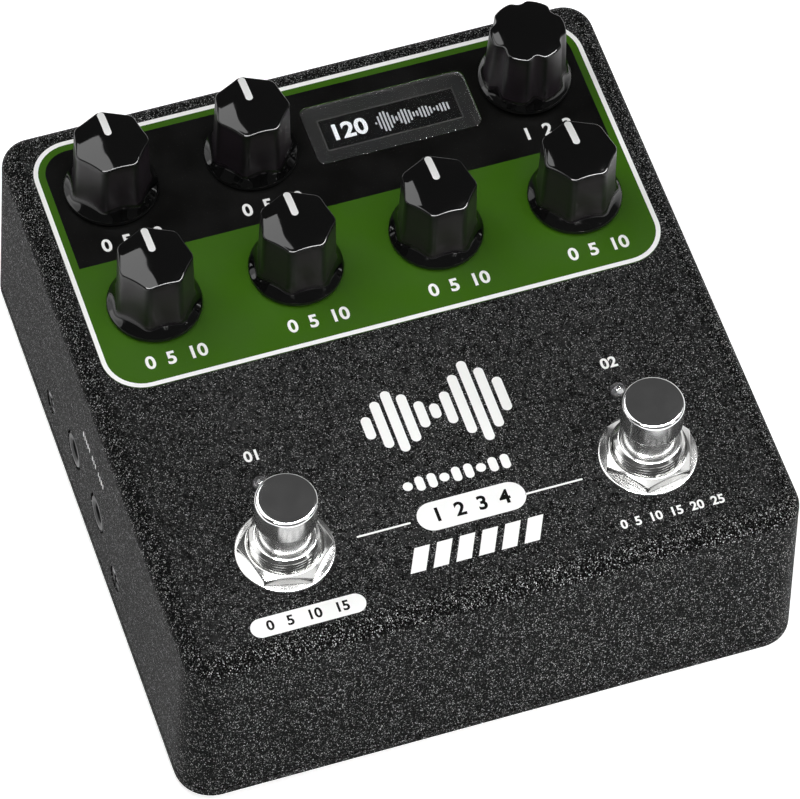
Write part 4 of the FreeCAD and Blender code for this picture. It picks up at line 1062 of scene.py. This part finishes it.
PANEL_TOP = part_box("display_panel")[1].z
active_left = active_x - active_width / 2
trace = []
for index in range(TRACE_BARS):
    height = 0.5 + 4.6 * abs(math.sin(0.55 * index)) * math.exp(-0.06 * index)
    trace.append(bar(active_left + TRACE_START + TRACE_PITCH * index, active_y, 0.32, height))
show_layer("display_trace", trace, PANEL_TOP, PIXEL_LAYER, PIXEL_GREY)
reading = numerals("120", active_left + 4.6, active_y + 0.1, 4.6, PANEL_TOP, PANEL_TOP + PIXEL_LAYER)
show_piece("display_reading", reading, "case", PIXEL_WHITE)
print("display:", len(trace), "bars and a number under a", round(WINDOW_WIDTH, 1), "mm window")

# %% [markdown]
# Each knob is a seven-sided grip on a flared round skirt. The grip's sides are slightly dished, its
# corners are rounded, it narrows towards the top, and the top is a shallow dome. A box with seven cuts
# would look stamped, so the surface is computed: for every direction round the axis and every height
# there is one reach, and soft joins between sides, skirt and rim come from smooth minimum and maximum.

# %% The knobs' shape
knob_low, knob_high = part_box("knob_bass")
KNOB_SIDES = 7
CORNER_TOP = 6.75
CORNER_LOW = 7.15
FACET_DISH = 0.15
CORNER_BLEND = 1.0
SKIRT_REACH = (knob_high.x - knob_low.x) / 2 / MM
SKIRT_EDGE = 0.8
SKIRT_TOP = 4.4
SKIRT_NECK = 5.9
SKIRT_DISH = 0.35
SKIRT_BLEND = 0.9
CROWN = 1.0
RIM = (knob_high.z - knob_low.z) / MM - CROWN
RIM_ROUNDING = 0.36
BALL = (CORNER_TOP ** 2 + CROWN ** 2) / 2 / CROWN
KNOB_STEPS = 210


def smooth_least(values, softness):
    """The least of some values, rounded over where two of them meet."""
    ordered = sorted(values)
    least, second = ordered[0], ordered[1]
    overlap = max(softness - (second - least), 0.0) / softness
    return least - overlap * overlap * softness / 4


def facet_reach(turn, corner):
    """How far the grip's side stands from the axis in a direction, for one corner reach."""
    half_step = math.pi / KNOB_SIDES
    half_chord = corner * math.sin(half_step)
    flat = corner * math.cos(half_step)
    arc = (half_chord ** 2 + FACET_DISH ** 2) / 2 / FACET_DISH
    centre = flat - FACET_DISH + arc
    reaches = []
    for side in range(KNOB_SIDES):
        away = turn - math.pi / 2 - half_step * (2 * side + 1)
        away = math.atan2(math.sin(away), math.cos(away))
        if abs(away) < 1.25 * 2 * half_step:
            root = arc ** 2 - (centre * math.sin(away)) ** 2
            reaches.append(centre * math.cos(away) - math.sqrt(max(root, 0.0)))
    return smooth_least(reaches, CORNER_BLEND) if len(reaches) > 1 else reaches[0]


def skirt_reach(height):
    """How far the flared foot stands from the axis at a height over the knob's bottom."""
    share = max(height - SKIRT_EDGE, 0.0) / (SKIRT_TOP - SKIRT_EDGE)
    return SKIRT_REACH + (SKIRT_NECK - SKIRT_REACH) * share - 4 * SKIRT_DISH * share * (1 - share)


def dome_height(x, y=0.0):
    """The dome's height over the knob's bottom, at a point beside the axis."""
    return RIM + CROWN - BALL + math.sqrt(BALL ** 2 - x ** 2 - y ** 2)


print("knobs: dome radius", round(BALL, 2), "mm, rim at", round(RIM, 2), "mm")

# %% [markdown]
# All the knobs come from the same rings of points. They start in the middle of the shaft's bore, pass the
# room for the bush and the nut, turn up round the skirt and end in the middle of the dome. Only the grip
# differs: the six pointer knobs have flat sides, and the encoder's has hollow flutes. The reach of a flute
# is averaged over a few degrees, which rounds its edges as a mould would.

# %% Knob and encoder meshes
BORE_RADIUS = 3.03
BORE_TOP = 11.05
BUSH_REACH = 3.85
BUSH_ROOM = 3.35
NUT_REACH = 6.12
NUT_ROOM = 2.0
DOME_SHARES = (0.93, 0.82, 0.68, 0.52, 0.36, 0.2, 0.08)
FLUTES = 6
FLUTE_RADIUS = 1.6
FLUTE_DEPTH = 0.8
FLUTE_TURN = 26.0
FLUTE_NUDGES = (-3.6, -2.4, -1.2, 0.0, 1.2, 2.4, 3.6)
LOBE_TOP = 6.55
LOBE_LOW = 7.2


def pointer_grip(turn, height):
    """The seven-sided grip's reach, narrower towards the top."""
    share = height / (RIM + CROWN)
    return facet_reach(turn, CORNER_LOW + (CORNER_TOP - CORNER_LOW) * share)


def fluted_grip(turn, height):
    """The encoder's grip: a round form with six hollow flutes, their edges softened by averaging."""
    share = height / (RIM + CROWN)
    lobe = LOBE_LOW + (LOBE_TOP - LOBE_LOW) * share
    centre = lobe + FLUTE_RADIUS - FLUTE_DEPTH
    total = 0.0
    for nudge in FLUTE_NUDGES:
        reach = lobe
        for flute in range(FLUTES):
            away = turn + math.radians(nudge - FLUTE_TURN - 360 / FLUTES * flute)
            aside = abs(centre * math.sin(away))
            if aside < FLUTE_RADIUS and math.cos(away) > 0:
                reach = min(lobe, centre * math.cos(away) - math.sqrt(FLUTE_RADIUS ** 2 - aside ** 2))
        total += reach
    return total / len(FLUTE_NUDGES)


def knob_rings(grip_reach):
    """Rings of a knob, from the middle of its bore, round its skirt and up to the top of its dome."""
    below = [(BORE_RADIUS, BORE_TOP), (BORE_RADIUS, BUSH_ROOM), (BUSH_REACH, BUSH_ROOM),
             (BUSH_REACH, NUT_ROOM), (NUT_REACH, NUT_ROOM), (NUT_REACH, 0.0), (SKIRT_REACH - 0.15, 0.0),
             (SKIRT_REACH - 0.04, 0.04), (SKIRT_REACH, 0.15), (SKIRT_REACH, SKIRT_EDGE - 0.18),
             (SKIRT_REACH - 0.03, SKIRT_EDGE - 0.06)]
    rings = [round_ring(0, BORE_TOP)] + [round_ring(radius, height, KNOB_STEPS) for radius, height in below]
    turns = around(KNOB_STEPS)
    heights = [SKIRT_EDGE + 0.03 + (SKIRT_TOP - SKIRT_EDGE) * step / 14 for step in range(15)]
    heights += [SKIRT_TOP + (RIM - RIM_ROUNDING - SKIRT_TOP) * step / 8 for step in range(1, 8)]
    for height in heights:
        reaches = [grip_reach(turn, height) for turn in turns]
        if height < SKIRT_TOP + 0.1:
            flare = skirt_reach(height) - 0.06
            reaches = [-smooth_least([-reach, -flare], SKIRT_BLEND) for reach in reaches]
        rings.append(shaped_ring(reaches, height))
    walls = [grip_reach(turn, RIM) for turn in turns]
    for step in range(6):
        angle = math.radians(90 * step / 5)
        rings.append(shaped_ring(
            [wall - RIM_ROUNDING * (1 - math.cos(angle)) for wall in walls],
            [dome_height(wall - RIM_ROUNDING) - RIM_ROUNDING * (1 - math.sin(angle)) for wall in walls]))
    for share in DOME_SHARES:
        reaches = [(wall - RIM_ROUNDING) * share for wall in walls]
        rings.append(shaped_ring(reaches, [dome_height(reach) for reach in reaches]))
    return rings + [round_ring(0, RIM + CROWN)]


for body, axis in AXES.items():
    control = body.replace("_control", "")
    node, grip = ("encoder_knob", fluted_grip) if control == "encoder" else ("knob_" + control, pointer_grip)
    show_piece(node + "_moulding", stack_rings(knob_rings(grip)), body, KNOB_PLASTIC,
               (axis.x, axis.y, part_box(node)[0].z), 50, node)
print("knobs:", len(AXES))

# %% [markdown]
# The white line on a knob is paint in a shallow groove. Modelled as a bar that follows the dome, a few
# hundredths proud of it, it keeps crisp edges and round ends, and it rides with the knob.

# %% Pointer lines
POINTER_WIDTH = 1.25
POINTER_INNER = 0.7
POINTER_OUTER = 6.3
POINTER_PROUD = 0.035
POINTER_ROWS = 26
POINTER_SECTION = (
    (-1, 0.5), (-1, 0.03), (-0.93, 0.0), (-0.4, 0.0), (0.4, 0.0), (0.93, 0.0), (1, 0.03), (1, 0.5),
)


def pointer_mesh():
    """A bar with round ends that follows the dome, along +Y from near the axis to the rim."""
    half = POINTER_WIDTH / 2
    rings = []
    for row in range(POINTER_ROWS + 1):
        passed = 0.5 - 0.5 * math.cos(math.pi * row / POINTER_ROWS)
        y = POINTER_INNER + (POINTER_OUTER - POINTER_INNER) * passed
        from_end = min(y - POINTER_INNER, POINTER_OUTER - y)
        reach = half if from_end >= half else math.sqrt(max(half ** 2 - (half - from_end) ** 2, 0.0))
        reach = max(reach, 0.02)
        section = []
        for share, drop in POINTER_SECTION:
            x = share * reach
            section.append((x * MM, y * MM, (dome_height(x, y) + POINTER_PROUD - drop) * MM))
        rings.append(section)
    ends = [[tuple(sum(values) / len(ring) for values in zip(*ring))] for ring in (rings[0], rings[-1])]
    return stack_rings([ends[0]] + rings + [ends[1]])


pointers = {body: axis for body, axis in AXES.items() if body != "encoder_control"}
for body, axis in pointers.items():
    control = body.replace("_control", "")
    show_piece("pointer_line_" + control, pointer_mesh(), body, POINTER_PAINT,
               (axis.x, axis.y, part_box("knob_" + control)[0].z), 30, "pointer_" + control)
print("pointer lines:", len(pointers))

# %% [markdown]
# The left wall has two small jacks and a row of short printed strokes. The jacks' noses end a little inside
# the wall, so each gets a bevelled ring that comes up flush with it. Rings and strokes are drawn flat and
# then stood up against the drafted wall.

# %% Left wall
WALL_DRAFT = math.radians(1.88)
MARK_Y = -4.2
MARK_Z = 26.6
MARK_HEIGHT = 1.3
MARK_PITCH = 0.86
MARK_GAPS = (5, 9)
JACK_RING_REACH = 3.1
JACK_RING_BORE = 1.86
JACK_RADIUS = 3.8


def wall_x(z):
    """Where the drafted left wall stands at a height, both in metres."""
    return case_low.x + (z - case_low.z) * math.tan(WALL_DRAFT)


def on_left_wall(mesh, y, z):
    """Stands a flat mesh, drawn round the origin, upright against the left wall at a point in metres."""
    across = Vector((0, -1, 0))
    upward = Vector((math.sin(WALL_DRAFT), 0, math.cos(WALL_DRAFT)))
    turn = Matrix((across, upward, across.cross(upward))).transposed().to_4x4()
    mesh.transform(Matrix.Translation((wall_x(z), y, z)) @ turn)
    return mesh


jack_low, jack_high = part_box("side_jacks")
jack_z = (jack_low.z + jack_high.z) / 2
sink = -abs(jack_low.x - wall_x(jack_z)) / MM
ring_corners = [(JACK_RING_BORE, sink, 0), (JACK_RING_REACH, sink, 0), (JACK_RING_REACH, 0, 0.12),
                (JACK_RING_BORE + 0.5, 0, 0.1), (JACK_RING_BORE, sink, 0)]
jack_rings = [on_left_wall(turned(ring_corners, 64), y, jack_z)
              for y in (jack_low.y + JACK_RADIUS * MM, jack_high.y - JACK_RADIUS * MM)]
show_piece("side_jack_rings", join_meshes(jack_rings), "case", RING_GREY)

strokes = [bar(-5.6 + MARK_PITCH * index, 0, 0.38 if index % 3 else 0.6, MARK_HEIGHT)
           for index in range(14) if index not in MARK_GAPS]
wall_sheet = flat_sheet(strokes, 0.0, 4 * INK)
wall_sheet.transform(Matrix.Translation((0, -MIDDLE_Y, 0)))
show_ink("wall_marks", on_left_wall(wall_sheet, MARK_Y * MM, MARK_Z * MM), INK_WHITE)
print("left wall: two jack rings and", len(strokes), "strokes")

# %% [markdown]
# A foot switch is the brightest thing on the pedal, so its chrome is turned from a profile with every
# edge rounded. The cap has a barely domed top and a broad rim that catches the softbox as one thin
# line. Its stem and the collar that keeps it in are part of the same turning, so that it looks right
# when it is pressed too.

# %% Foot switch caps
CAP_RADIUS = 5.25
CAP_HEIGHT = 5.3
STEM_RADIUS = 4.4
COLLAR_RADIUS = 4.95
COLLAR_HEIGHT = 1.5
SIDES = ("left", "right")
SWITCH_PLACES = {}
for side in SIDES:
    low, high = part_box("footswitch_cap_" + side)
    centre = (low + high) / 2
    SWITCH_PLACES[side] = Vector((centre.x, centre.y, TOP))
    floor, top = over_case(low.z), over_case(high.z)
    cap_floor = top - CAP_HEIGHT
    corners = [
        (0, floor, 0), (COLLAR_RADIUS, floor, 0.15), (COLLAR_RADIUS, floor + COLLAR_HEIGHT, 0.15),
        (STEM_RADIUS, floor + COLLAR_HEIGHT, 0.1), (STEM_RADIUS, cap_floor - 0.9, 0.5),
        (STEM_RADIUS + 0.35, cap_floor - 0.1, 0.1), (CAP_RADIUS - 0.1, cap_floor, 0.1),
        (CAP_RADIUS, cap_floor + 0.1, 0.08), (CAP_RADIUS, top - 0.02, 0.75), (2.5, top, 0), (0, top, 0),
    ]
    show_piece("footswitch_button_" + side, turned(corners, 144, 8), "footswitch_" + side,
               BRIGHT_CHROME, SWITCH_PLACES[side], stands_for="footswitch_cap_" + side)
print("caps", round(top, 2), "mm over the case")

# %% [markdown]
# Below the cap stand the switch's bush, its nut and its washer. The bush carries a real thread: the
# reach of its surface follows a helix, one crest per pitch. The thread runs out into the bevel at the
# top, as it does when a lathe cuts it.

# %% Threaded bushes
BUSH_RADIUS = 6.0
BUSH_BORE = STEM_RADIUS + 0.05
BUSH_BEVEL = 0.7
BUSH_STEPS = 120
THREAD_PITCH = 0.75
THREAD_DEPTH = 0.32
ROWS_PER_PITCH = 10


def threaded_tube(low, high):
    """A tube with an outside thread and a bevelled top, between two heights in millimetres."""
    rows = int((high - low) / THREAD_PITCH * ROWS_PER_PITCH)
    rings = [round_ring(BUSH_BORE, low, BUSH_STEPS)]
    for row in range(rows + 1):
        height = low + (high - low) * row / rows
        limit = BUSH_RADIUS - max(0.0, height - (high - BUSH_BEVEL))
        reaches = []
        for step in range(BUSH_STEPS):
            phase = (height / THREAD_PITCH - step / BUSH_STEPS) % 1.0
            groove = THREAD_DEPTH * (1 - abs(2 * phase - 1)) ** 0.8
            reaches.append(min(BUSH_RADIUS - groove, limit))
        rings.append(shaped_ring(reaches, height))
    rings.append(round_ring(BUSH_BORE + 0.3, high, BUSH_STEPS))
    rings.append(round_ring(BUSH_BORE, high - 0.3, BUSH_STEPS))
    return stack_rings(rings + rings[:1])


def left_only(side, node):
    """The node for the left side alone: one node holds both sides' solids and is replaced once."""
    return node if side == "left" else None


bush_low, bush_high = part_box("footswitch_bushings")
for side in SIDES:
    show_piece("footswitch_thread_" + side, threaded_tube(over_case(bush_low.z), over_case(bush_high.z)),
               "case", TURNED_CHROME, SWITCH_PLACES[side], 60,
               left_only(side, "footswitch_bushings"))
print("bushes with", THREAD_PITCH, "mm pitch")

# %% [markdown]
# The nut is cut from hexagonal bar and its upper corners are turned off to a cone, which is why each side
# ends in a curve. Taking the lesser of two reaches, the hexagon's and the cone's, at every height gives
# that curve without a boolean. A plain punched washer lies under it.

# %% Outer nuts and washers
NUT_WIDTH = 14.0
NUT_BORE = 6.03
NUT_CORNERS = {"left": 47.0, "right": 10.0}
NUT_CONE = 6.6
NUT_EDGE = 0.14
NUT_STEPS = 240
WASHER_BORE = 6.05
WASHER_STEPS = 160


def hexagon_reach(turn, corner_turn):
    """How far the nut's side stands from the axis in a direction, its corners slightly rounded."""
    reaches = []
    for side in range(6):
        away = turn - math.radians(corner_turn + 30 + 60 * side)
        if math.cos(away) > 0.3:
            reaches.append(NUT_WIDTH / 2 / math.cos(away))
    return smooth_least(reaches, NUT_EDGE) if len(reaches) > 1 else reaches[0]


def hexagon_nut(corner_turn, low, high):
    """A hexagonal nut whose upper corners are turned off to a cone, countersunk at its bore."""
    walls = [hexagon_reach(turn, corner_turn) for turn in around(NUT_STEPS)]
    slope = math.tan(math.radians(30))
    levels = [low + 0.12 + (high - low - 1.12) * step / 4 for step in range(5)]
    levels += [high - 1.0 + step / 30 for step in range(1, 31)]
    rings = [round_ring(NUT_BORE, low, NUT_STEPS), shaped_ring([wall - 0.1 for wall in walls], low)]
    for level in levels:
        cone = NUT_CONE + (high - level) / slope
        rings.append(shaped_ring([smooth_least([wall, cone], NUT_EDGE) for wall in walls], level))
    for radius, level in ((NUT_CONE - 0.12, high), (NUT_BORE + 0.35, high), (NUT_BORE, high - 0.45)):
        rings.append(round_ring(radius, level, NUT_STEPS))
    return stack_rings(rings + rings[:1])


def flat_washer(radius, bore, low, high):
    """A punched washer: a soft upper rim, a sharper lower one and a slight roll at its bore."""
    outline = [(bore, low), (radius - 0.05, low), (radius, low + 0.05), (radius, high - 0.28),
               (radius - 0.06, high - 0.12), (radius - 0.16, high - 0.03), (radius - 0.32, high),
               (bore + 0.1, high), (bore, high - 0.1), (bore, low)]
    return stack_rings([round_ring(reach, level, WASHER_STEPS) for reach, level in outline])


washer_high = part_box("footswitch_washers")[1]
washer_top = over_case(washer_high.z)
washer_reach = washer_high.x / MM - SWITCH_PLACES["right"].x / MM
nut_top = over_case(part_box("footswitch_nuts")[1].z)
for side in SIDES:
    nut = hexagon_nut(NUT_CORNERS[side], washer_top, nut_top)
    show_piece("footswitch_nut_" + side, nut, "case", TURNED_CHROME, SWITCH_PLACES[side],
               34, left_only(side, "footswitch_nuts"))
    washer = flat_washer(washer_reach, WASHER_BORE, 0.0, washer_top)
    show_piece("footswitch_washer_" + side, washer, "case", WASHER_STEEL,
               SWITCH_PLACES[side], 40, left_only(side, "footswitch_washers"))
print("nuts", round(nut_top - washer_top, 2), "mm tall, washers reach", round(washer_reach, 2), "mm")

# %% [markdown]
# The lamps are water-clear resin over a dark grey core. What makes one look like a lamp instead of a bead
# is what lies under the lens: the core, the small pale chip on it, and the two leads that carry it. The
# chip sits off the middle, where the lens shows it as a pale crescent.

# %% Lamps by the foot switches
LAMP_RADIUS = 1.5
LAMP_FLANGE = 1.95
FLANGE_LOW = -4.0
FLANGE_HIGH = -3.0
CORE_RADIUS = 1.30
CHIP_RADIUS = 0.52
CHIP_ASIDE = Vector((0.12, -0.62, 0.0)) * MM
LAMP_X = 31.5
LAMP_Y = -24.35
LEAD_PITCH = 2.54
LEAD_SIZE = 0.5
lamp_low, lamp_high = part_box("status_leds")
lamp_top = over_case(lamp_high.z)
lens = [(0, FLANGE_LOW, 0), (LAMP_FLANGE, FLANGE_LOW, 0.1), (LAMP_FLANGE, FLANGE_HIGH, 0.1),
        (LAMP_RADIUS, FLANGE_HIGH, 0.05), (LAMP_RADIUS, lamp_top - LAMP_RADIUS, 0)]
for step in range(1, 13):
    turn = math.radians(90 * step / 12)
    lens.append((LAMP_RADIUS * math.cos(turn) if step < 12 else 0,
                 lamp_top - LAMP_RADIUS + LAMP_RADIUS * math.sin(turn), 0))
core = [(0, FLANGE_HIGH, 0), (CORE_RADIUS, FLANGE_HIGH, 0.1), (CORE_RADIUS, lamp_top - 1.35, 0.25),
        (0.6, lamp_top - 0.86, 0.2), (0, lamp_top - 0.86, 0)]
chip = [(0, lamp_top - 0.90, 0), (CHIP_RADIUS, lamp_top - 0.90, 0.02), (CHIP_RADIUS, lamp_top - 0.74, 0.04),
        (0, lamp_top - 0.74, 0)]
for side, sign in zip(SIDES, (-1, 1)):
    place = on_face(sign * LAMP_X, LAMP_Y, TOP)
    show_piece("lamp_lens_" + side, turned(lens, 64), "case", LAMP_RESIN, place,
               stands_for=left_only(side, "status_leds"))
    show_piece("lamp_core_" + side, turned(core, 64), "case", CORE_GREY, place)
    show_piece("lamp_chip_" + side, turned(chip, 48), "case", CHIP_PALE, place + CHIP_ASIDE)
    leads = []
    for shift in (-1, 1):
        lead_x = sign * LAMP_X + shift * LEAD_PITCH / 2
        lead = rounded_box(lead_x, LAMP_Y, LEAD_SIZE, LEAD_SIZE, 0.08, 3)
        leads.append(flat_sheet([lead], lamp_low.z, TOP + FLANGE_LOW * MM))
    show_piece("lamp_leads_" + side, join_meshes(leads), "case", PLATED_STEEL)
print("lamps stand", round(lamp_top, 2), "mm over the case")

# %% [markdown]
# The feet are rubber discs with a moulded rim. From the side only their edge shows, but the underside
# is seen too, so each has a shallow dish inside the rim.

# %% Feet
FOOT_RADIUS = 6.0
foot_low, foot_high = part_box("rubber_feet")
foot_x = foot_high.x / MM - FOOT_RADIUS
foot_y = (foot_high.y - MIDDLE_Y) / MM - FOOT_RADIUS
foot_tall = (foot_high.z - foot_low.z) / MM
foot_corners = [(0, 0.35, 0), (FOOT_RADIUS - 1.4, 0.35, 0.3), (FOOT_RADIUS - 1.0, 0.0, 0.2),
                (FOOT_RADIUS - 0.15, 0.0, 0.25), (FOOT_RADIUS, foot_tall, 0.1), (0, foot_tall, 0)]
feet = []
for x, y in ((-foot_x, -foot_y), (-foot_x, foot_y), (foot_x, -foot_y), (foot_x, foot_y)):
    foot = turned(foot_corners, 72)
    foot.transform(Matrix.Translation(on_face(x, y, foot_low.z)))
    feet.append(foot)
show_piece("moulded_feet", join_meshes(feet), "case", FOOT_RUBBER, stands_for="rubber_feet")
print("feet at", round(foot_x, 1), "and", round(foot_y, 1), "mm")

# %% [markdown]
# The floor is a plain pale sheet. For the camera it glows a little, so that it meets the white
# background without a line, but it still receives light, so the pedal's shadow stays on it. A camera under
# the table looks through the sheet's lower side, so that the feet and the base plate can be seen too.

# %% Floor
FLOOR_HALF = 2.0
FLOOR_GLOW = 0.55
floor_mesh = bpy.data.meshes.new("floor")
floor_mesh.from_pydata([(-FLOOR_HALF, -FLOOR_HALF, 0), (FLOOR_HALF, -FLOOR_HALF, 0),
                        (FLOOR_HALF, FLOOR_HALF, 0), (-FLOOR_HALF, FLOOR_HALF, 0)], [], [(0, 1, 2, 3)])
floor = bpy.data.objects.new("floor", floor_mesh)
bpy.context.scene.collection.objects.link(floor)
floor_finish, floor_tree, floor_shader = new_finish("pale_floor", grey(0.80), 0.7,
                                                    Emission_Color=(1, 1, 1, 1))
floor_rays = add_node(floor_tree, "LightPath").outputs
in_gloss = arithmetic(floor_tree, "ADD", floor_rays["Is Glossy Ray"], floor_rays["Is Transmission Ray"])
seen = arithmetic(floor_tree, "ADD", floor_rays["Is Camera Ray"], in_gloss, clamp=True)
feed(floor_tree, product(floor_tree, seen, FLOOR_GLOW), floor_shader, "Emission Strength")
under = add_node(floor_tree, "NewGeometry").outputs["Backfacing"]
from_below = product(floor_tree, under, floor_rays["Is Camera Ray"])
feed(floor_tree, arithmetic(floor_tree, "SUBTRACT", 1.0, from_below), floor_shader, "Alpha")
floor_mesh.materials.append(floor_finish)
floor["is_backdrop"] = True
print("floor", 2 * FLOOR_HALF, "m wide")

# %% [markdown]
# Last, the growth of the dressed part's box over the bare construction's, at its upper corner, is printed.
# They have to agree: looks may not make the part larger.

# %% Sizes and finish
def plain(box):
    """A box as plain lists of numbers."""
    return [list(corner) for corner in box]


dressed_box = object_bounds()
growth = [(after - before) / MM for before, after in zip(plain(cad_box)[1], plain(dressed_box)[1])]
print("upper corner grows by", [round(value, 3) for value in growth], "mm")
